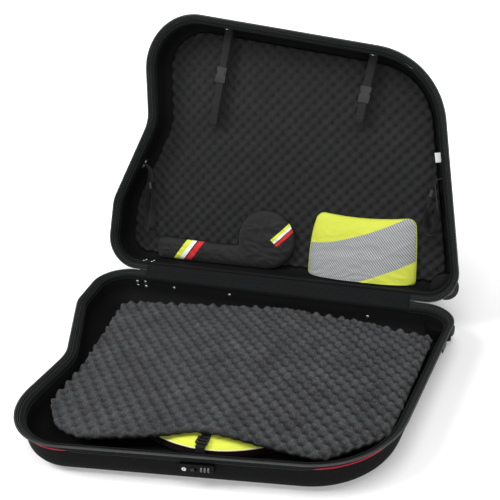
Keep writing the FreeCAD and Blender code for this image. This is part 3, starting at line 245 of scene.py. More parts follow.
class Nodes:
    """The nodes of a material or world, built one by one."""

    def __init__(self, owner):
        owner.use_nodes = True
        self.tree = owner.node_tree
        self.tree.nodes.clear()

    def node(self, kind, inputs, **settings):
        """A new node; its inputs are numbers, colours or values of other nodes."""
        made = self.tree.nodes.new("ShaderNode" + kind)
        for key, setting in settings.items():
            setattr(made, key, setting)
        for key, entry in inputs.items():
            if isinstance(entry, Value):
                self.tree.links.new(entry.socket, made.inputs[key])
            else:
                made.inputs[key].default_value = entry
        return made

    def value(self, kind, output, inputs, **settings):
        return Value(self, self.node(kind, inputs, **settings).outputs[output])

    def math(self, operation, *values):
        return self.value("Math", 0, dict(enumerate(values)), operation=operation)

    def seen_rays(self):
        """1 for rays that show the background: from the camera, from a mirror or through glass."""
        path = self.node("LightPath", {}).outputs
        camera, mirror, glass = (Value(self, path["Is %s Ray" % kind]) for kind in SEEN)
        return self.math("MAXIMUM", self.math("MAXIMUM", camera, mirror), glass)


class Shader(Nodes):
    """A principled material."""

    def __init__(self, name, roughness, metallic=0.0, specular=0.5, sheen=0.0):
        self.material = bpy.data.materials.new(name)
        super().__init__(self.material)
        self.coordinates = self.value("TexCoord", "Object", {})
        self.surface = {"Roughness": roughness, "Metallic": metallic, "Specular IOR Level": specular}
        if sheen:
            self.surface.update({"Sheen Weight": sheen, "Sheen Roughness": 0.4})

    def stretched(self, scale):
        return self.value("Mapping", "Vector", {"Vector": self.coordinates, "Scale": scale})

    def noise(self, scale, detail=3.0, rough=0.55, vector=None):
        inputs = {"Vector": vector or self.coordinates, "Scale": scale, "Detail": detail, "Roughness": rough}
        return self.value("TexNoise", "Fac", inputs)

    def cells(self, scale):
        return self.value("TexVoronoi", "Distance", {"Vector": self.coordinates, "Scale": scale})

    def threads(self, fineness, direction):
        inputs = {"Vector": self.coordinates, "Scale": fineness / 6.0, "Distortion": 0.6}
        return self.value("TexWave", "Fac", inputs, bands_direction=direction)

    def axes(self):
        made = self.node("SeparateXYZ", {"Vector": self.coordinates})
        return [Value(self, made.outputs[axis]) for axis in "XYZ"]

    def ramp(self, factor, stops, interpolation="LINEAR"):
        made = self.node("ValToRGB", {"Fac": factor})
        band = made.color_ramp
        band.interpolation = interpolation
        while len(band.elements) < len(stops):
            band.elements.new(0.5)
        for element, (position, colour) in zip(band.elements, stops):
            element.position = position
            element.color = (*colour, 1)
        return Value(self, made.outputs["Color"])

    def mix(self, factor, first, second):
        """Two colours by a factor; the node's colours are its inputs 6 and 7 and its output 2."""
        if isinstance(second, tuple):
            second = (*second, 1)
        return self.value("Mix", 2, {0: factor, 6: first, 7: second}, data_type="RGBA")

    def finished(self, colour, gloss=None, *bumps, glow=None):
        """The material. gloss is a factor with the least and the most roughness, a bump is a height with its strength
        and distance, and glow is light that is added to what is seen."""
        self.surface["Base Color"] = colour
        if gloss:
            inputs = dict(zip(("Value", "To Min", "To Max"), gloss))
            self.surface["Roughness"] = self.value("MapRange", "Result", inputs)
        for bump in bumps:
            inputs = dict(zip(("Height", "Strength", "Distance"), bump))
            if "Normal" in self.surface:
                inputs["Normal"] = self.surface["Normal"]
            self.surface["Normal"] = self.value("Bump", "Normal", inputs)
        shown = self.value("BsdfPrincipled", "BSDF", self.surface)
        if glow:
            light = self.value("Emission", "Emission", {"Strength": glow})
            shown = self.value("AddShader", "Shader", {0: shown, 1: light})
        self.node("OutputMaterial", {"Surface": shown})
        return self.material


BLACK, WHITE = (0, 0, 0), (1, 1, 1)


def shade(colour, factor):
    return tuple(c * factor for c in colour)


def tones(colour, dark, light, positions=(0.2, 0.55, 0.95)):
    """Stops of a ramp from a darker to a lighter tone of a colour."""
    return list(zip(positions, (shade(colour, dark), colour, shade(colour, light))))


def woven(name, colour, fineness, roughness, sheen, spread=0.35):
    """Plain-weave cloth: crossed thread waves, soft fading and lint."""
    s = Shader(name, roughness, sheen=sheen, specular=0.1)
    across, along, up = (s.threads(fineness, axis) for axis in "XYZ")
    weave = s.math("MAXIMUM", across * along, up * s.math("MAXIMUM", across, along))
    patches = s.noise(9.0, 4.0)
    lint = s.noise(900.0, 2.0)
    cloth = s.ramp(patches * 0.6 + weave * 0.4, tones(colour, 1 - spread, 1 + spread))
    gloss = (lint, roughness - 0.08, roughness + 0.12)
    return s.finished(cloth, gloss, (weave, 0.5, 0.0003), (patches, 0.15, 0.002))


def laminate(name, colour, roughness, specular):
    """Moulded cloth laminate: a fine pressed grain, faint scuffs and slow changes of tone."""
    s = Shader(name, roughness, specular=specular)
    grain = s.cells(260.0)
    fine = s.noise(1500.0, 2.0)
    slow = s.noise(5.0, 5.0)
    scuff = s.noise(34.0, 8.0, 0.7)
    ground = s.ramp(slow * 0.55 + grain * 0.6, tones(colour, 0.7, 1.3, (0.2, 0.6, 1.0)))
    worn = s.ramp(scuff, [(0.66, BLACK), (0.82, WHITE)])
    scuffed = s.mix(worn, ground, shade(colour, 1.5))
    gloss = (slow * fine, roughness - 0.1, roughness + 0.2)
    return s.finished(scuffed, gloss, (grain, 0.35, 0.0006), (fine, 0.2, 0.0002))


def moulded(name, colour, roughness, grain=700.0, specular=0.5):
    """Moulded plastic with spark-eroded grain and slightly uneven gloss."""
    s = Shader(name, roughness, specular=specular)
    height = s.noise(grain, 4.0, 0.6)
    slow = s.noise(22.0, 4.0)
    uneven = s.ramp(slow, [(0.3, shade(colour, 0.8)), (0.7, shade(colour, 1.2))])
    return s.finished(uneven, (slow, roughness - 0.08, roughness + 0.12), (height, 0.25, 0.0003))


def metal(name, colour, roughness):
    """Steel with fine brushing and dull patches."""
    s = Shader(name, roughness, metallic=1.0)
    lines = s.noise(1.0, 3.0, 0.6, s.stretched((40, 900, 900)))
    dull = s.noise(60.0, 4.0)
    uneven = s.ramp(dull, [(0.3, shade(colour, 0.8)), (0.7, shade(colour, 1.1))])
    return s.finished(uneven, (dull, roughness - 0.1, roughness + 0.2), (lines, 0.12, 0.0002))


def rubber(name, colour):
    s = Shader(name, 0.8, specular=0.35)
    dust = s.noise(45.0, 6.0, 0.65)
    fine = s.noise(1100.0, 3.0)
    dusty = s.ramp(dust, tones(colour, 0.75, 1.9, (0.35, 0.6, 0.8)))
    return s.finished(dusty, (dust, 0.7, 0.95), (fine, 0.3, 0.0003))


PITCH = 29.0  # of the convoluted foam's peaks, along the lattice


def foam(name, colour, side, painted_hollow_shade, spread):
    """Open-cell foam: speckled and dull, with painted shade in the hollows between its peaks. hollow: how dark that
    painted shade is at the left and at the right.
    """
    s = Shader(name, 0.95, specular=0.05)
    x, y, z = s.axes()
    if side == BASE:
        v = HINGE.y * MM - y
    else:
        v = (z - HINGE.z * MM) * SINE - (y - HINGE.y * MM) * COSINE
    turns = sqrt(2) * pi / (PITCH * MM)
    # Painted shade: a mask on the foam's lattice, 0 in the hollows and 1 on the peaks, that darkens the colour in the
    # hollows.
    waves = s.math("COSINE", (x + v) * turns) + s.math("COSINE", (x - v) * turns)
    painted_lit_share = s.ramp(waves * 0.25 + 0.5, [(0.0, BLACK), (0.4, (0.75, 0.75, 0.75)), (1.0, WHITE)])
    pores = s.cells(620.0)
    fine = s.noise(1700.0, 3.0, 0.7)
    slow = s.noise(14.0, 4.0)
    speckle = s.noise(230.0, 2.0, 0.8)
    tone = s.ramp(slow * 0.35 + speckle * 0.65, tones(colour, 1 - spread, 1 + spread, (0.3, 0.5, 0.7)))
    # Painted shade in the hollows, darker towards the right.
    depth = s.ramp(x + 0.5, [(0.3, shade(colour, painted_hollow_shade[0])), (0.75, shade(colour, painted_hollow_shade[1]))])
    return s.finished(s.mix(painted_lit_share, depth, tone), None, (pores, 0.5, 0.0012), (fine, 0.35, 0.0006))


def pouch_cloth():
    """Lime cloth with a sweeping grey twill band, its fine stripes on the diagonal."""
    s = Shader("pouch_cloth", 0.74, sheen=0.1, specular=0.22)
    x, _, z = s.axes()
    v = (z - 0.0949) / SINE
    run = x - 0.091
    upper = run * 0.2 + 0.132 + run * run * 0.4
    lower = (x - 0.251) * 0.385 + 0.027
    inside = (v < upper) * (v > lower)
    share = s.math("FRACT", (x * 0.754 + v * 0.657) / 0.0064)
    patches = s.noise(11.0, 4.0)
    weave = s.threads(620.0, "X") * s.threads(620.0, "Z")
    limes = [(0.2, (0.47, 0.515, 0.048)), (0.55, (0.56, 0.605, 0.067)), (0.95, (0.63, 0.675, 0.092))]
    lime = s.ramp(patches * 0.6 + weave * 0.4, limes)
    pale, dark = (0.37, 0.379, 0.388), (0.165, 0.169, 0.174)
    twill = s.ramp(share, [(0.0, pale), (0.36, pale), (0.5, dark), (0.86, dark), (1.0, pale)])
    bumps = (weave, 0.5, 0.0003), (inside * share, 0.25, 0.0004), (patches, 0.15, 0.002)
    return s.finished(s.mix(inside, lime, twill), (patches, 0.6, 0.82), *bumps)


def striped_cover():
    """Black neoprene with two plain sets of diagonal stripes: lime, white, black and red."""
    black = (0.011, 0.011, 0.012)
    stops = [(0.0, (0.6, 0.68, 0.05)), (0.32, (0.78, 0.78, 0.76)), (0.58, black), (0.67, (0.55, 0.02, 0.025))]
    left_set = (0.81, -0.587, -0.3515, 0.0555, -9.0)
    right_set = (0.683, -0.73, -0.1295, 0.032, 0.065)
    s = Shader("cover_cloth", 0.78, sheen=0.1, specular=0.22)
    x, _, z = s.axes()
    v = (z - 0.0927) / SINE
    patches = s.noise(10.0, 4.0)
    weave = s.threads(560.0, "X") * s.threads(560.0, "Z")
    ground = s.ramp(patches * 0.6 + weave * 0.4, tones(black, 0.65, 1.6))
    for run, rise, start, width, along_from in (left_set, right_set):
        share = (x * run + v * rise - start) / width
        along = v * run - x * rise
        inside = (share > 0.0) * (share < 1.0) * (along > along_from)
        ground = s.mix(inside, ground, s.ramp(share, stops, "CONSTANT"))
    return s.finished(ground, (patches, 0.64, 0.86), (weave, 0.5, 0.0003), (patches, 0.2, 0.002))


SHELL = laminate("shell_laminate", (0.0048, 0.005, 0.0054), 0.8, 0.06)
TAPE = woven("tape_cloth", (0.0088, 0.0095, 0.01), 520.0, 0.82, 0.02)
BINDING = woven("binding_cloth", (0.0045, 0.0048, 0.0052), 700.0, 0.8, 0.02)
COIL = moulded("zip_coil_plastic", (0.03, 0.031, 0.032), 0.5, 1500.0)
PIPING = woven("piping_cloth", (0.42, 0.012, 0.035), 900.0, 0.55, 0.3, 0.2)
# The pairs after BASE and LID set how dark the painted shade in each foam's hollows is, at the left and at the right.
BASE_FOAM = foam("base_foam", (0.058, 0.059, 0.061), BASE, (0.62, 0.36), 0.8)
LID_FOAM = foam("lid_foam", (0.0215, 0.022, 0.022), LID, (0.8, 0.72), 0.3)
LIME = woven("lime_cloth", (0.72, 0.79, 0.085), 640.0, 0.75, 0.1, 0.14)
WEBBING = woven("webbing", (0.0155, 0.0155, 0.016), 760.0, 0.74, 0.1, 0.4)
BUCKLE_PLASTIC = moulded("buckle_plastic", (0.02, 0.02, 0.0215), 0.22, 900.0, 0.4)
HOUSING = moulded("housing_plastic", (0.0036, 0.0036, 0.004), 0.4, 600.0, 0.12)
BLACK_PLASTIC = moulded("black_plastic", (0.0075, 0.0075, 0.0082), 0.55, specular=0.35)
HUB_PLASTIC = moulded("hub_plastic", (0.07, 0.07, 0.075), 0.45)
LOCK_PLASTIC = moulded("lock_plastic", (0.003, 0.003, 0.0034), 0.5, 500.0, 0.06)
RIVET = metal("rivet_steel", (0.85, 0.85, 0.85), 0.24)
AXLE = metal("axle_steel", (0.55, 0.55, 0.57), 0.3)
DIAL = metal("dial_gunmetal", (0.11, 0.11, 0.118), 0.4)
ZIP_METAL = metal("zip_nickel", (0.62, 0.62, 0.63), 0.3)
TYRE = rubber("tyre_rubber", (0.028, 0.028, 0.03))
LABEL = woven("label_ribbon", (0.72, 0.72, 0.7), 900.0, 0.6, 0.2, 0.08)
THREAD = woven("stitch_thread", (0.034, 0.036, 0.037), 1500.0, 0.6, 0.1)
HINGE_CLOTH = woven("hinge_cloth", (0.0058, 0.0061, 0.0066), 620.0, 0.8, 0.02)
BAG_SIDE = woven("bag_side_cloth", (0.014, 0.0035, 0.005), 560.0, 0.8, 0.05)
PALE_LIME = woven("pale_welt", (0.8, 0.83, 0.42), 900.0, 0.65, 0.25, 0.1)
WELT_LIME = woven("lime_welt", (0.4, 0.47, 0.03), 900.0, 0.65, 0.25, 0.15)
POUCH = pouch_cloth()
COVER = striped_cover()

# The ends of the CAD nodes' names for each finish; the longest that fits counts.

FINISH = (
    (SHELL, "_shell"),
    (HOUSING, "_wheel_housing"),
    (AXLE, "_wheel_axle", "_wheel_bearings", "lock_dial_axle", "lock_key_barrel"),
    (TYRE, "_wheel_tyre"),
    (HUB_PLASTIC, "_wheel_hub"),
    (BLACK_PLASTIC, "_foot", "_ladder_lock", "lock_button", "carry_handle", "handle_end_caps", "_strap_slide"),
    (RIVET, "_rivets"),
    (LOCK_PLASTIC, "lock_case"),
    (DIAL, "lock_dial_left", "lock_dial_middle", "lock_dial_right"),
    (ZIP_METAL, "_zip_slider", "_zip_pull"),
    (BUCKLE_PLASTIC, "_buckle_socket", "_buckle_plug"),
    (COIL, "_zip_teeth"),
    (TAPE, "_zip_tape", "_hinge_strip"),
    (BINDING, "_edge_binding"),
    (PIPING, "_piping"),
    (BASE_FOAM, "_foam_sheet"),
    (LID_FOAM, "_foam_panel"),
    (LIME, "wheel_bag"),
    (POUCH, "accessory_pouch"),
    (COVER, "drivetrain_cover"),
    (WEBBING, "_strap", "grab_handle"),
    (LABEL, "care_label"),
)

for name, node in nodes.items():
    fitting = [(len(end), k) for k, (_, *ends) in enumerate(FINISH) for end in ends if name.endswith(end)]
    node.data.materials.clear()
    node.data.materials.append(FINISH[max(fitting)[1]][0])

# Strips round the rim

WHOLE_PATH = rim_path(0.0, 8.0)


def open_path(left, right):
    """The rim line from the hinge strip's right end round the case to its left end: spot, normal, distance."""
    ring = [(spot, normal) for spot, normal, _ in WHOLE_PATH if normal[1] > -0.9999]
    hinge_side = sorted(spot[0] for spot, normal, _ in WHOLE_PATH if normal[1] <= -0.9999)

    def behind(row):
        return [(np.array([x, 0.0]), np.array([0.0, -1.0])) for x in row]

    start = behind([right] + [x for x in hinge_side if x > right])
    end = behind([x for x in hinge_side if x < left] + [left])
    path = []
    along = 0.0
    for spot, normal in start + ring + end:
        if path:
            along += norm(spot - path[-1][0])
        path.append((spot, normal, along))
    return path


HINGE_LEFT = -477.2
HINGE_RIGHT = 443.2
ZIP_PATH = open_path(HINGE_LEFT, HINGE_RIGHT)
PIPED_PATH = open_path(-535.0, 505.0)


def band(name, side, path, section, material, closed=False):
    """A strip swept along a rim path. section(spot, normal, along) gives its closed outline as (inset, depth)."""
    verts = []
    columns = 0
    for spot, normal, along in path:
        outline = section(spot, normal, along)
        columns = len(outline)
        for inset, depth in outline:
            verts.append(place(side, *(spot - normal * inset), depth))
    faces = strip_faces(len(path), columns, True, True) if closed else capped_faces(len(path), columns)
    return mesh_piece(name, verts, faces, material, side)


def studs(name, side, path, pitch, half_length, insets, depths, material):
    """Small blocks at a regular pitch along a rim path, shorter on top: zip coils or stitches."""
    along = np.array([entry[2] for entry in path])
    verts, faces = [], []
    for distance in np.arange(pitch / 2, along[-1], pitch):
        k = min(int(np.searchsorted(along, distance)), len(path) - 1)
        share = (distance - along[k - 1]) / (along[k] - along[k - 1])
        spot = path[k - 1][0] * (1 - share) + path[k][0] * share
        normal = path[k - 1][1] * (1 - share) + path[k][1] * share
        tangent = np.array([-normal[1], normal[0]])
        first = len(verts)
        for depth, shrink in ((depths[0], 0.8), (depths[1], 1.0)):
            for step, inset in ((-1, insets[0]), (1, insets[0]), (1, insets[1]), (-1, insets[1])):
                verts.append(place(side, *(spot - normal * inset + tangent * step * half_length * shrink), depth))
        faces += [tuple(first + corner for corner in face) for face in capped_faces(2, 4)]
    return mesh_piece(name, verts, faces, material, side, smooth=False)


TAPE_SEED = {BASE: 1, LID: 2}
TAPE_SEAMS = {"outer": (8.5, 4.7), "inner": (13.5, 8.9)}  # inset and depth


def tape_sag(side, along):
    return 1.2 * wobble(along, TAPE_SEED[side], 60.0) + 0.5 * wobble(along, TAPE_SEED[side] + 5, 17.0)


def tape_section(side):
    """Tape that slants from the zip row to the shell; along the base's front it hangs looser and lower."""

    def section(spot, normal, along):
        loose = 0.0
        if side == BASE and normal[1] > 0.5:
            loose = smooth_step(-310, -225, spot[0]) * (1 - smooth_step(285, 365, spot[0]))
        sag = tape_sag(side, along)
        hem = 23.8 + 4.2 * loose + 0.4 * wobble(along, TAPE_SEED[side] + 9, 40.0)
        out = 18.2 - 4.4 * loose
        outer = [(4.1, 0.7), (8.5, 4.7 + sag), (13.5, 8.9 + sag), (18.0, 12.4), (19.9, 14.4), (19.9, hem)]
        turned_in = [(out, hem + 0.3), (out - 0.7, hem - 2.2), (out - 0.1, hem - 4.4)]
        inner = [(min(17.2, out), 14.6), (min(13.0, out), 11.2 + sag), (7.6, 6.7 + sag), (4.1, 2.9)]
        return outer + turned_in + inner

    return section


def seam_section(side, inset, depth):
    """A sewn line on the tape, a little proud of it."""

    def section(spot, normal, along):
        middle = depth + tape_sag(side, along)
        around = ((-0.6, -0.3), (0.0, -0.9), (0.6, 0.1), (0.0, 0.4))
        return [(inset + aside, middle + deeper) for aside, deeper in around]

    return section


def binding_section(spot, normal, along):
    swell = 0.25 * wobble(along, 3, 23.0)
    low = 27.6 + 0.4 * wobble(along, 4, 60.0)
    over = [(20.05, 14.85), (20.05, 13.9), (21.0, 13.0), (23.2, 12.7 - swell), (25.4, 13.1), (26.5, 14.6)]
    return over + [(26.75 + swell, 20.0), (26.7, low - 1.0), (26.2, low), (25.15, low), (25.15, 14.85)]


def zip_cord_section(spot, normal, along):
    return [(0.9, 1.2), (4.1, 1.2), (4.1, 2.7), (0.9, 2.7)]


def round_section(inset, depth, radius, count):
    return [(inset + radius * cos(angle), depth + radius * sin(angle)) for angle in circle(count)]


def piping_section(spot, normal, along):
    return round_section(17.85, 26.15 + 0.25 * wobble(along, 6, 45.0), 1.95, 10)


for half in (BASE, LID):
    tape = band(half + "_tape_cloth", half, ZIP_PATH, tape_section(half), TAPE)
    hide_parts(half + "_zip_tape")
    for row, line in TAPE_SEAMS.items():
        sewn = band(half + "_tape_seam_" + row, half, ZIP_PATH, seam_section(half, *line), THREAD)
    binding = band(half + "_binding_cloth", half, WHOLE_PATH, binding_section, BINDING, closed=True)
    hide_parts(half + "_edge_binding")
    piping = band(half + "_piping_cord", half, PIPED_PATH, piping_section, PIPING)
    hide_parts(half + "_piping")
    coils = studs(half + "_zip_coils", half, ZIP_PATH, 3.1, 1.05, (0.2, 4.05), (0.4, 3.2), COIL)
    join(coils, band(half + "_zip_cord", half, ZIP_PATH, zip_cord_section, COIL))
    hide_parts(half + "_zip_teeth")
    seam = studs(half + "_binding_stitches", half, ZIP_PATH, 5.2, 1.7, (26.6, 27.15), (24.0, 24.8), THREAD)

# Fabric hinge: one strip from wall to wall, ribbed along its length

HINGE_SECTION = [(19.2, 23.8), (19.2, 18.5), (19.0, 14.8), (15.8, 11.9)]
HINGE_SECTION += [(12.2, 9.2), (8.6, 6.4), (5.0, 3.8), (1.6, 1.4)]
HINGE_STEPS = 116
HINGE_HALF = 0.7 * MM  # of the cloth's thickness


def hinge_line():
    corners = [place(BASE, 0, v, d) for v, d in HINGE_SECTION]
    corners += [place(LID, 0, v, d) for v, d in reversed(HINGE_SECTION)]
    line = []
    for first, second in zip(corners, corners[1:]):
        for share in (0.0, 0.34, 0.67):
            line.append(first.lerp(second, share))
    return line + [corners[-1]]


def make_hinge():
    line = hinge_line()
    count = len(line)
    verts = []
    for i in range(HINGE_STEPS + 1):
        x = (HINGE_LEFT + (HINGE_RIGHT - HINGE_LEFT) * i / HINGE_STEPS) * MM
        upper, lower = [], []
        for j, spot in enumerate(line):
            direction = heading(line, j)
            across = Vector((0, -direction.z, direction.y))
            free = float(smooth_step(4, 9, j) * (1 - smooth_step(count - 10, count - 5, j)))
            rib = 0.0009 * free * sin(2 * pi * j / 5.5) + 0.0006 * free * wobble(x, j, 0.09)
            middle = Vector((x, spot.y, spot.z)) + across * rib
            upper.append(middle + across * HINGE_HALF)
            lower.append(middle - across * HINGE_HALF)
        verts += upper + lower[::-1]
    piece = mesh_piece("hinge_cloth", verts, capped_faces(HINGE_STEPS + 1, 2 * count), HINGE_CLOTH)
    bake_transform(piece)
    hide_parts("base_hinge_strip", "lid_hinge_strip")


make_hinge()

# Convoluted foam


def rounded(corners, step, rounds):
    """Points at about a regular step along a closed polygon, evened out so that its corners are round."""
    corners = np.array(corners, float)
    points = []
    for first, second in zip(corners, np.roll(corners, -1, 0)):
        count = max(1, int(round(norm(second - first) / step)))
        points += [first + (second - first) * k / count for k in range(count)]
    points = np.array(points)
    for _ in range(rounds):
        points = 0.5 * points + 0.25 * (np.roll(points, 1, 0) + np.roll(points, -1, 0))
    return points


def scalloped(points, height, pitch):
    tangent = np.roll(points, -1, 0) - np.roll(points, 1, 0)
    tangent /= norm(tangent, axis=1)[:, None]
    normal = np.stack([tangent[:, 1], -tangent[:, 0]], 1)
    along = np.concatenate([[0], np.cumsum(norm(np.diff(points, axis=0), axis=1))])
    return points + normal * (height * np.cos(2 * np.pi * along / pitch))[:, None]


def distances(points, outline, block=2000):
    """Signed distance of points from a closed outline, positive inside, and the nearest spots on it."""
    ends = np.roll(outline, -1, 0)
    run = ends - outline
    slope = run[:, 0] / np.where(run[:, 1] == 0, 1e-9, run[:, 1])
    signed = np.zeros(len(points))
    nearest = np.zeros((len(points), 2))
    for first in range(0, len(points), block):
        some = points[first : first + block, None]
        share = np.clip(((some - outline) * run).sum(2) / (run * run).sum(1), 0, 1)
        spots = outline + share[..., None] * run
        gap = norm(some - spots, axis=2)
        best = gap.argmin(1)
        level = some[..., 1]
        crosses = (outline[:, 1] > level) != (ends[:, 1] > level)
        meets = outline[:, 0] + (level - outline[:, 1]) * slope
        inside = (crosses & (some[..., 0] < meets)).sum(1) % 2 == 1
        picked = np.arange(len(some))
        signed[first : first + block] = np.where(inside, 1, -1) * gap[picked, best]
        nearest[first : first + block] = spots[picked, best]
    return signed, nearest


def slab(name, side, outline, spacing, front, back, material, body):
    """A closed pad over an outline: front and back give depths from x, v and the distance to the edge."""
    low = outline.min(0) - spacing
    high = outline.max(0) + spacing
    xs = np.arange(low[0], high[0], spacing)
    vs = np.arange(low[1], high[1], spacing)
    grid = np.stack(np.meshgrid(xs, vs), -1).reshape(-1, 2)
    quads = np.array(strip_faces(len(vs), len(xs)))
    quads = quads[distances(grid[quads].mean(1), outline)[0] > 0]
    used = np.unique(quads)
    index = np.full(len(grid), -1)
    index[used] = np.arange(len(used))
    quads = index[quads].tolist()
    points = grid[used]
    signed, nearest = distances(points, outline)
    edges = {}
    for quad in quads:
        for a, b in zip(quad, quad[1:] + quad[:1]):
            key = (min(a, b), max(a, b))
            edges[key] = None if key in edges else (a, b)
    border = [pair for pair in edges.values() if pair is not None]
    on_border = np.unique(np.array(border))
    points[on_border] = nearest[on_border]
    signed[on_border] = 0.0
    signed = np.maximum(signed, 0.0)
    count = len(points)
    verts = []
    for depths in (front(*points.T, signed), back(*points.T, signed)):
        verts += [place(side, x, v, d) for (x, v), d in zip(points, depths)]
    faces = [tuple(quad) for quad in quads]
    faces += [tuple(c + count for c in reversed(quad)) for quad in quads]
    faces += [(b, a, a + count, b + count) for a, b in border]
    return mesh_piece(name, verts, faces, material, body)


def domed(x, v):
    """Round peaks with narrow hollows, from -1 to 1, on a lattice turned to the diagonal."""
    turns = [2 * np.pi * along / sqrt(2) / PITCH for along in (x + v, x - v)]
    return 2 * (0.5 + 0.25 * (np.cos(turns[0]) + np.cos(turns[1]))) ** 0.65 - 1


SHEET_CORNERS = [(-502, 146), (60, 66), (528, 108), (464, 560), (326, 688), (49, 679)]
SHEET_CORNERS += [(-1, 679), (-96, 716), (-283, 772), (-362, 756), (-430, 676), (-434, 520)]


def sheet_rise(x, v):
    """How the loose sheet lies: lifted over the strap at the front, drooping where the bag doesn't carry it."""
    lift = 12 * np.exp(-(((x - 70) / 125) ** 2)) * smooth_step(520, 680, v)
    slope = 4 * np.sin(x / 170 + 0.6) * np.sin(v / 210)
    droop = 7 * smooth_step(300, 490, x) + 7 * smooth_step(430, 500, -x) + 5 * smooth_step(690, 780, v)
    return lift + slope - droop


def sheet_top(x, v, inside):
    rim = 1.5 * (1 - np.clip(inside / 9, 0, 1)) ** 2
    uneven = np.array([ripple(a, b, 60, 60, 8.3) for a, b in zip(x, v)])
    height = 8.2 + 2.0 * smooth_step(-150, 250, x) + 1.6 * uneven
    return BASE_DEPTH - (67.0 + sheet_rise(x, v) + height * domed(x, v) - rim)


def sheet_underside(x, v, inside):
    return BASE_DEPTH - (52.9 + np.maximum(sheet_rise(x, v), -9.0))


SHEET_OUTLINE = scalloped(rounded(SHEET_CORNERS, 6.0, 14), 1.5, PITCH)
base_sheet = slab("egg_crate_sheet", BASE, SHEET_OUTLINE, 4.1, sheet_top, sheet_underside, BASE_FOAM, BASE)
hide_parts("base_foam_sheet")

PANEL_INSET = 46.0  # of the foam panel's edge, from the rim line
CURVE_INSET, CURVE_DEPTH, CURVE_RADIUS = 70, 78, 45.0  # of the shell's inner rounding behind the panel


def panel_front(x, v, inside):
    return 101.4 + 5.6 * (1 - domed(x, v))


def panel_back(x, v, inside):
    into = np.clip(CURVE_INSET - (PANEL_INSET + inside), 0, 24)
    return np.minimum(122.6, CURVE_DEPTH + np.sqrt(CURVE_RADIUS**2 - into**2) - 0.7)


PANEL_OUTLINE = np.array([spot for spot, _, _ in rim_path(PANEL_INSET, 9.0)])
lid_panel = slab("egg_crate_panel", LID, PANEL_OUTLINE, 4.8, panel_front, panel_back, LID_FOAM, LID)
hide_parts("lid_foam_panel")

# Wheel bag: its outline is turned round the middle, as rows of radius and height

BAG_MIDDLE = np.array([0.0, 386.0])
BAG_RADIUS = 325.5
BAG_TOP = 49.6
BAG_FLOOR = 5.3
BAG_ROWS = [(40, 49.6), (90, 49.5), (150, 49.4), (210, 49.2), (260, 48.8), (288, 48.2), (306, 46.8), (316, 44.2)]
BAG_ROWS += [(321.5, 40.5), (323, 37.5), (324.5, 31), (325, 24), (323.5, 15), (319, 9), (311, 6), (298, 5.3)]
BAG_ROWS += [(200, 5.3)]
BAG_SIDE_HEIGHT = 0.0385  # below this the dark side cloth starts
BAG_AROUND = 168


def welt_section(spot, normal, along):
    return round_section(2.2, 73.2, 2.0, 8)


def make_bag():
    around = BAG_AROUND
    verts = [place(BASE, *BAG_MIDDLE, BASE_DEPTH - BAG_TOP)]
    for ring, (r, z) in enumerate(BAG_ROWS):
        for angle in circle(around):
            crease = 0.0
            if z > 36 and r > 120:
                crease = 0.9 * wobble(angle * 9, ring // 3, 1.0) - 0.5 * abs(wobble(angle * 22, 3, 1.0))
            x = BAG_MIDDLE[0] + r * cos(angle)
            v = BAG_MIDDLE[1] + r * sin(angle)
            verts.append(place(BASE, x, v, BASE_DEPTH - (z + crease)))
    verts.append(place(BASE, *BAG_MIDDLE, BASE_DEPTH - BAG_FLOOR))
    faces = [(0, 1 + k, 1 + (k + 1) % around) for k in range(around)]
    faces += [tuple(1 + corner for corner in face) for face in strip_faces(len(BAG_ROWS), around, False, True)]
    last = len(verts) - 1 - around
    faces += [(last + k, len(verts) - 1, last + (k + 1) % around) for k in range(around)]
    piece = mesh_piece("wheel_bag_cloth", verts, faces, LIME, BASE)
    piece.data.materials.append(BAG_SIDE)
    for polygon in piece.data.polygons:
        polygon.material_index = 1 if polygon.center.z < BAG_SIDE_HEIGHT else 0
    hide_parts("wheel_bag")
    normals = [np.array([cos(angle), sin(angle)]) for angle in circle(around)]
    path = [(BAG_MIDDLE + normal * BAG_RADIUS, normal, 0.0) for normal in normals]
    welt = band("wheel_bag_welt", BASE, path, welt_section, PALE_LIME, closed=True)


make_bag()

# Webbing

STRAP_HALF = 12.5 * MM  # of the width
STRAP_THICKNESS = 1.5 * MM


def smoothed(points, rounds):
    """Corner cutting on an open row of points; both ends stay."""
    points = [Vector(p) for p in points]
    for _ in range(rounds):
        cut = [points[0]]
        for first, second in zip(points, points[1:]):
            cut.append(first.lerp(second, 0.25))
            cut.append(first.lerp(second, 0.75))
        points = cut + [points[-1]]
    return points


def webbing(name, points, across, body, thickness=STRAP_THICKNESS, wave=0.0, seed=1):
    """A flat woven strap along a row of points; across is its width's direction, or one for each point."""
    turns = across if isinstance(across, list) else [across] * len(points)
    half = STRAP_HALF
    inner = half - thickness * 0.7
    outline = [(-half, -0.25), (-inner, -0.5), (0, -0.56), (inner, -0.5), (half, -0.25)]
    outline += [(-w, -t) for w, t in outline]
    verts = []
    length = 0.0
    for k, spot in enumerate(points):
        if k:
            length += (spot - points[k - 1]).length
        wide = Vector(turns[k]).normalized()
        up = heading(points, k).cross(wide).normalized()
        shift = up * wave * wobble(length, seed, 0.05)
        tilt = up * wave * 0.5 * wobble(length, seed + 4, 0.07)
        for w, t in outline:
            verts.append(spot + shift + tilt * (w / half) + wide * w + up * (t * thickness))
    return mesh_piece(name, verts, capped_faces(len(points), len(outline)), WEBBING, body)


def bag_strap():
    rows = [(58.3, 31), (58.3, 44), (58.9, 50.9), (66.5, 51.1), (200, 51.1), (400, 51.1), (600, 51.1), (692, 51.1)]
    rows += [(705.5, 51.1), (713.2, 50.4), (713.7, 44), (713.7, 31)]
    points = smoothed([place(BASE, 24.0, v, BASE_DEPTH - z) for v, z in rows], 3)
    piece = webbing("wheel_bag_webbing", points, (1, 0, 0), BASE)
    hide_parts("wheel_bag_strap")


bag_strap()

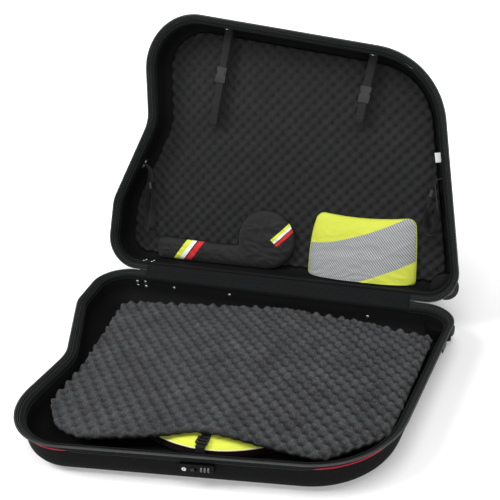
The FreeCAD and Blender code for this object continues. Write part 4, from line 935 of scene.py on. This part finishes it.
FRONT_WALL = 1  # the corner where the lid's front wall starts
RIGHT_WALL = 0
LEFT_WALL = 3


def lid_vector(x, v, d):
    return place(LID, x, v, d) - place(LID, 0, 0, 0)


LID_DEEPER = lid_vector(0, 0, 1).normalized()


def lid_depth(spot):
    """Depth of a point of the row frame below the lid's parting plane, metres."""
    return (spot - place(LID, 0, 0, 0)).dot(LID_DEEPER)


def hanging_loop(name, x, length, drop):
    """Strap loop on the lid's front wall: a riveted tab, a front leg through the buckle, and a back leg."""
    corner = np.array(CORNERS[FRONT_WALL][0])
    direction, out = wall(FRONT_WALL)
    top = corner + direction * (x - corner[0]) / direction[0] - out * WALL_INSET

    def strap(ending, rows, seed):
        points = [place(LID, *(top - out * down), depth) for depth, down in rows]
        across = lid_vector(-out[1], out[0], 0)
        return webbing(name + ending, smoothed(points, 3), across, LID, wave=0.0008, seed=seed)

    near, far = 70.2, 85.8
    below = drop + 50.0  # the buckle
    upper = [(44, 0.9), (52, 0.9), (64, 0.9), (69.6, 1.2), (near, 7), (near + 0.6, 40), (near, drop - 8)]
    upper += [(near, drop + 1)]
    lower = [(near, below - 1), (near, below + 8), (near - 1.5, length * 0.72), (near + 0.5, length - 14)]
    lower += [(near + 2.2, length - 5), (78, length - 0.9), (far - 2.2, length - 5), (far, length - 14)]
    lower += [(far + 1.2, length * 0.6), (far, 40), (far - 0.5, 10), (far - 4, 2.8), (76, 2.6), (64, 2.6)]
    piece = join(strap("_webbing", upper, 3), strap("_webbing_back", lower, 5))
    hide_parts(name + "_strap")


hanging_loop("seat", -205.0, 318.0, 122.0)
hanging_loop("head", 274.0, 214.0, 96.0)

LOOP_DEPTH = 62.5
LOOP_RADIUS = 25.6
LOOP_TWIST = radians(50)  # of a side loop's hanging end, towards the open side


def side_loop(name, corner, along, length):
    """Strap on a side wall of the lid that hangs as an open loop beside it; corner is where its wall starts."""
    spot, direction, normal = wall_spot(corner, along)
    fixed = spot - normal * WALL_INSET
    sine = LOOP_RADIUS / (length - LOOP_RADIUS)
    cosine = sqrt(1 - sine**2)
    middle = LOOP_RADIUS - 0.8
    top = fixed - normal * (LOOP_RADIUS + 1.6) - np.array([0, 0.8 / sine])
    fall = middle / sine
    hand = 1 if normal[0] < 0 else -1

    def leg(aside, share):
        return top + np.array([aside * sine, -cosine]) * fall * cosine * share

    tab = [place(LID, *(fixed + direction * step - normal * 0.8), LOOP_DEPTH) for step in (17, 8, -8, -17)]
    loop = [fixed - normal * 1.0, fixed * 0.6 + top * 0.4, top + np.array([0, 1.5])]
    loop += [leg(hand, 0.33), leg(hand, 0.66)]
    for k in range(9):
        angle = asin(sine) - (pi + 2 * asin(sine)) * k / 8
        loop.append(top + np.array([hand * middle * cos(angle), middle * sin(angle) - fall]))
    loop += [leg(-hand, 0.66), leg(-hand, 0.33), top + np.array([0, -1.0])]
    rows, turns = [], []
    for spot in smoothed([(x, v, 0) for x, v in loop], 2):
        twist = -LOOP_TWIST * float(smooth_step(0.42, 0.9, (top[1] - spot.y) / fall))
        offset = spot.x - top[0]
        rows.append(place(LID, top[0] + offset * cos(twist), spot.y, LOOP_DEPTH + offset * sin(twist)))
        turns.append(lid_vector(-sin(twist), 0, cos(twist)))
    first = webbing(name + "_webbing", tab, lid_vector(0, 0, 1), LID)
    piece = join(first, webbing(name + "_webbing_loop", rows, turns, LID))
    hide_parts(name + "_strap")


side_loop("left", LEFT_WALL, 122.0, 232.0)
side_loop("right", RIGHT_WALL, 280.0, 176.0)


def grab():
    rows = [(-119, 1.5), (-104, 1.5), (-89, 1.6), (-76, 6.0), (-62, 13.0), (-48, 16.0), (-20, 16.6)]
    rows += [(-x, rise) for x, rise in reversed(rows)]
    points = smoothed([place(BASE, -259 + x, 19.9 - rise, 45) for x, rise in rows], 3)
    piece = webbing("grab_handle_webbing", points, (0, 0, 1), BASE, 2.9 * MM)
    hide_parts("grab_handle")


grab()

LABEL_LENGTH, LABEL_REACH, LABEL_THICKNESS = 30.0, 21.0, 0.6
LABEL_STEPS = 9


def label():
    """Blank ribbon sewn to the lid's right wall by one edge, its free edge a little curled."""
    middle, direction, normal = wall_spot(RIGHT_WALL, 344.0)
    shares = [k / (LABEL_STEPS - 1) for k in range(LABEL_STEPS)]
    verts = []
    for layer in (0.0, LABEL_THICKNESS):
        for along in shares:
            for out in shares:
                spot = middle + direction * LABEL_LENGTH * (along - 0.5) - normal * (WALL_INSET + LABEL_REACH * out)
                verts.append(place(LID, *spot, 62.7 + layer + 2.5 * out**2))
    piece = mesh_piece("blank_label", verts, cushion_faces(LABEL_STEPS, LABEL_STEPS)[0], LABEL, LID)
    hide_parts("care_label")


label()

# Pouch and drivetrain cover, swelled as cloth

LAST_MOMENT = 20
FOAM_FRONT = 100.3  # depth where the pieces rest on the foam panel


def creases(x, v, length, width, seed):
    """Sharp little ridges of wrinkled cloth, from 0 to 1."""
    return (1 - abs(ripple(x, v, length, width, seed))) ** 6


def inflate(piece, seam, pressure, cap):
    """Swells a closed form as padded cloth for a moment; the seam is held and each point moves a little at most."""
    count = len(piece.data.vertices)
    before = np.empty(count * 3)
    piece.data.vertices.foreach_get("co", before)
    piece.vertex_groups.new(name="seam").add(seam, 1.0, "REPLACE")
    cloth = piece.modifiers.new("cloth", "CLOTH")
    cloth.settings.quality = 5
    cloth.settings.vertex_group_mass = "seam"
    cloth.settings.use_pressure = True
    cloth.settings.uniform_pressure_force = pressure
    cloth.settings.effector_weights.gravity = 0
    cloth.point_cache.frame_start = 1
    cloth.point_cache.frame_end = LAST_MOMENT
    for moment in range(1, LAST_MOMENT + 1):
        bpy.context.scene.frame_set(moment)
    evaluated = piece.evaluated_get(bpy.context.evaluated_depsgraph_get())
    after = np.empty(count * 3)
    evaluated.to_mesh().vertices.foreach_get("co", after)
    evaluated.to_mesh_clear()
    piece.modifiers.clear()
    piece.vertex_groups.clear()
    bpy.context.scene.frame_set(1)
    move = (after - before).reshape(-1, 3)
    size = norm(move, axis=1)
    move *= np.minimum(1.0, cap / np.maximum(size, 1e-9))[:, None]
    piece.data.vertices.foreach_set("co", before + move.ravel())
    piece.data.update()


def settle(piece, lowest):
    """Flattens a soft lid piece where it rests, on the foam behind it and on the hinge wall below it."""
    higher = lid_vector(0, 1, 0).normalized()
    for vertex in piece.data.vertices:
        sunk = max(0.0, lid_depth(vertex.co) - FOAM_FRONT * MM)
        short = max(0.0, lowest * MM - (vertex.co - place(LID, 0, 0, 0)).dot(higher))
        vertex.co += higher * short - LID_DEEPER * sunk
    piece.modifiers.new("soften", "SUBSURF").render_levels = 1
    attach(piece, LID)


def tube(name, points, radius, material):
    """A sewn edge: a thin round cord along a row of points of the lid."""
    verts = []
    for k, spot in enumerate(points):
        side = heading(points, k).cross(LID_DEEPER).normalized()
        for angle in circle(8):
            verts.append(spot + (side * cos(angle) + LID_DEEPER * sin(angle)) * radius)
    return mesh_piece(name, verts, capped_faces(len(points), 8), material, LID)


def corner_inset(share, reach, radius):
    """How far a rounded corner draws an outline in, at a share of the way from its end."""
    left = max(0.0, 1 - share / reach)
    return radius * (1 - sqrt(1 - left * left))


def towards_ends(count, k):
    """The k-th of some steps from 0 to 1 that lie closer together near both ends."""
    share = k / (count - 1)
    return 0.4 * share + 0.3 * (1 - cos(pi * share))


POUCH_COLUMNS, POUCH_ROWS = 67, 51
POUCH_LOW, POUCH_HIGH = 28.0, 232


def make_pouch():
    front, back = [], []
    for j in range(POUCH_ROWS):
        t = towards_ends(POUCH_ROWS, j)
        left = 93 + 25 * t**3 + corner_inset(1 - t, 0.1, 18) + corner_inset(t, 0.07, 13)
        right = 448 - 14 * t**2 - corner_inset(1 - t, 0.1, 22) - corner_inset(t, 0.07, 13)
        behind = 93.0 + 6.6 * t
        for i in range(POUCH_COLUMNS):
            s = towards_ends(POUCH_COLUMNS, i)
            x = left + (right - left) * s
            top = POUCH_HIGH + 10 * (2 * s - 1) ** 2
            v = POUCH_LOW + (top - POUCH_LOW) * t
            edge = (1 - abs(2 * s - 1) ** 5) ** 0.6 * (1 - t**9) ** 0.5
            thick = 3.0 + edge * (41.0 - 27.0 * t**0.8) * (0.72 + 0.28 * sin(pi * s))
            fold = 4.4 * ripple(x, v, 72, 46, 1.7) + 3.2 * creases(x + 0.5 * v, v - 0.2 * x, 80, 24, 4.1)
            front.append(place(LID, x, v, behind - thick - fold * edge))
            back.append((x, v, behind))
    faces, border = cushion_faces(POUCH_ROWS, POUCH_COLUMNS)
    piece = mesh_piece("pouch_cloth", front + [place(LID, *spot) for spot in back], faces, POUCH)
    inflate(piece, border + [len(front) + k for k in border], 3.0, 0.005)
    settle(piece, 26.6)
    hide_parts("accessory_pouch")
    left, top, right = back[::POUCH_COLUMNS], back[-POUCH_COLUMNS:], back[::-POUCH_COLUMNS]
    edging = []
    for side, aside, above in ((left, -0.5, 0), (top, 0, 0.5), (right, 0.5, 0)):
        edging += [place(LID, x + aside, v + above, d - 1.6) for x, v, d in side]
    welt = tube("pouch_welt", smoothed(edging, 1), 1.5 * MM, WELT_LIME)


make_pouch()

COVER_DEPTH = 87.4  # of its seam
COVER_MIDDLE = np.array([-60.5, 134.8])  # of its round end
COVER_RADIUS = 101.5


def cover_outline():
    corners = [(-474, 38), (-470, 33.5), (-380, 32.5), (-200, 32.5), (-60.5, 33)]
    for k in range(1, 41):
        angle = radians(-90 + 287 * k / 40)
        corners.append(tuple(COVER_MIDDLE + COVER_RADIUS * np.array([cos(angle), sin(angle)])))
    corners += [(-222, 103), (-307, 106), (-440, 111), (-470, 110), (-475, 104)]
    return rounded(corners, 5.0, 8)


def cover_half(inside):
    return 0.8 + 11.6 * np.sqrt(1 - (1 - np.clip(inside / 21, 0, 1)) ** 2)


def cover_front(x, v, inside):
    folds = np.array([ripple(a, b, 55, 38, 2.2) for a, b in zip(x, v)])
    fine = np.array([creases(a - 0.5 * b, b + 0.3 * a, 52.0, 21.0, 6.1) for a, b in zip(x, v)])
    return COVER_DEPTH - cover_half(inside) - (3.0 * folds + 4.2 * fine) * np.clip(inside / 22, 0, 1)


def cover_back(x, v, inside):
    return COVER_DEPTH + cover_half(inside)


def make_cover():
    outline = cover_outline()
    piece = slab("cover_cloth", LID, outline, 5.0, cover_front, cover_back, COVER, None)
    depths = [lid_depth(vertex.co) / MM for vertex in piece.data.vertices]
    inflate(piece, [k for k, depth in enumerate(depths) if abs(depth - COVER_DEPTH) < 1.0], 2.0, 0.003)
    settle(piece, 31.4)
    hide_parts("drivetrain_cover")
    edging = [place(LID, x, v, COVER_DEPTH) for x, v in np.vstack([outline, outline[:1]])]
    welt = tube("cover_welt", edging, 1.7 * MM, BINDING)


make_cover()

# Softer edges on the moulded CAD pieces: width in millimetres, and the ends of their names

ROUNDING = (
    (0.4, "_zip_slider", "_zip_pull"),
    (0.5, "lock_button"),
    (0.9, "_ladder_lock", "_wheel_housing"),
    (1.0, "_strap_slide"),
    (1.2, "lock_case"),
    (1.3, "_buckle_socket", "_buckle_plug"),
    (1.4, "handle_end_caps"),
    (3.0, "_foot"),
)
for width, *ends in ROUNDING:
    for name in [name for name in nodes if name.endswith(tuple(ends))]:
        rounding = nodes[name].modifiers.new("rounding", "BEVEL")
        rounding.width = width * MM
        rounding.segments = 2
        rounding.limit_method = "ANGLE"
        rounding.angle_limit = radians(40)
        rounding.harden_normals = False

# Stage, light and camera

scene = bpy.context.scene


def floor_paper():
    """Pale paper; plain white is added to what is seen of it, a little near the case, all of it farther out."""
    s = Shader("floor_paper", 0.9, specular=0.1)
    pale = s.ramp(s.noise(1.2, 2.0), [(0.3, (0.86, 0.86, 0.86)), (0.7, (0.9, 0.9, 0.9))])
    x, y, _ = s.axes()
    from_case = s.math("SQRT", s.math("POWER", x, 2) + s.math("POWER", y, 2))
    limits = {"Value": from_case, "From Min": 0.8, "From Max": 2.2, "To Min": 0.14}
    return s.finished(pale, glow=s.seen_rays() * s.value("MapRange", "Result", limits))


FLOOR = 14  # metres to each side
floor_corners = [(-FLOOR, -FLOOR, 0), (FLOOR, -FLOOR, 0), (FLOOR, FLOOR, 0), (-FLOOR, FLOOR, 0)]
floor = mesh_piece("floor", floor_corners, [(0, 1, 2, 3)], floor_paper(), smooth=False)

scene.world = bpy.data.worlds.new("studio")
studio = Nodes(scene.world)
strength = studio.value("MapRange", "Result", {"Value": studio.seen_rays(), "To Min": 0.36, "To Max": 1.0})
white = studio.value("Background", "Background", {"Color": (1, 1, 1, 1), "Strength": strength})
studio.node("OutputWorld", {"Surface": white})
scene.view_settings.view_transform = "Standard"


def area_light(name, spot, target, size, power):
    light = bpy.data.lights.new(name, "AREA")
    light.shape = "DISK"
    light.size = size
    light.energy = power
    lamp = bpy.data.objects.new(name, light)
    scene.collection.objects.link(lamp)
    lamp.location = spot
    lamp.rotation_euler = (Vector(target) - Vector(spot)).to_track_quat("-Z", "Y").to_euler()


area_light("key", (-2.4, -1.6, 3.2), (0, 0.2, 0.3), 1.8, 112)
area_light("fill", (1.5, -3.1, 1.8), (0, 0.1, 0.2), 2.4, 53)
area_light("top", (0.5, -0.8, 3.5), (0, 0.0, 0.1), 2.0, 62)

AZIMUTH = radians(20.465)
ELEVATION = radians(25.995)
ROLL = radians(-3.559)
EYE = Vector((0.59527, -1.37728, 1.17473))
FOCAL = 650.0  # pixels
FRAME = 500.0  # pixels
SENSOR = 36.0

level = Vector((cos(AZIMUTH), sin(AZIMUTH), 0))
forward = Vector((-sin(AZIMUTH) * cos(ELEVATION), cos(AZIMUTH) * cos(ELEVATION), -sin(ELEVATION)))
above = level.cross(forward)
right = level * cos(ROLL) + above * sin(ROLL)
up = above * cos(ROLL) - level * sin(ROLL)
camera_data = bpy.data.cameras.new("camera")
camera_data.sensor_width = SENSOR
camera_data.lens = SENSOR * FOCAL / FRAME
camera = bpy.data.objects.new("camera", camera_data)
scene.collection.objects.link(camera)
camera.matrix_world = Matrix.Translation(EYE) @ Matrix((right, up, -forward)).transposed().to_4x4()
scene.camera = camera
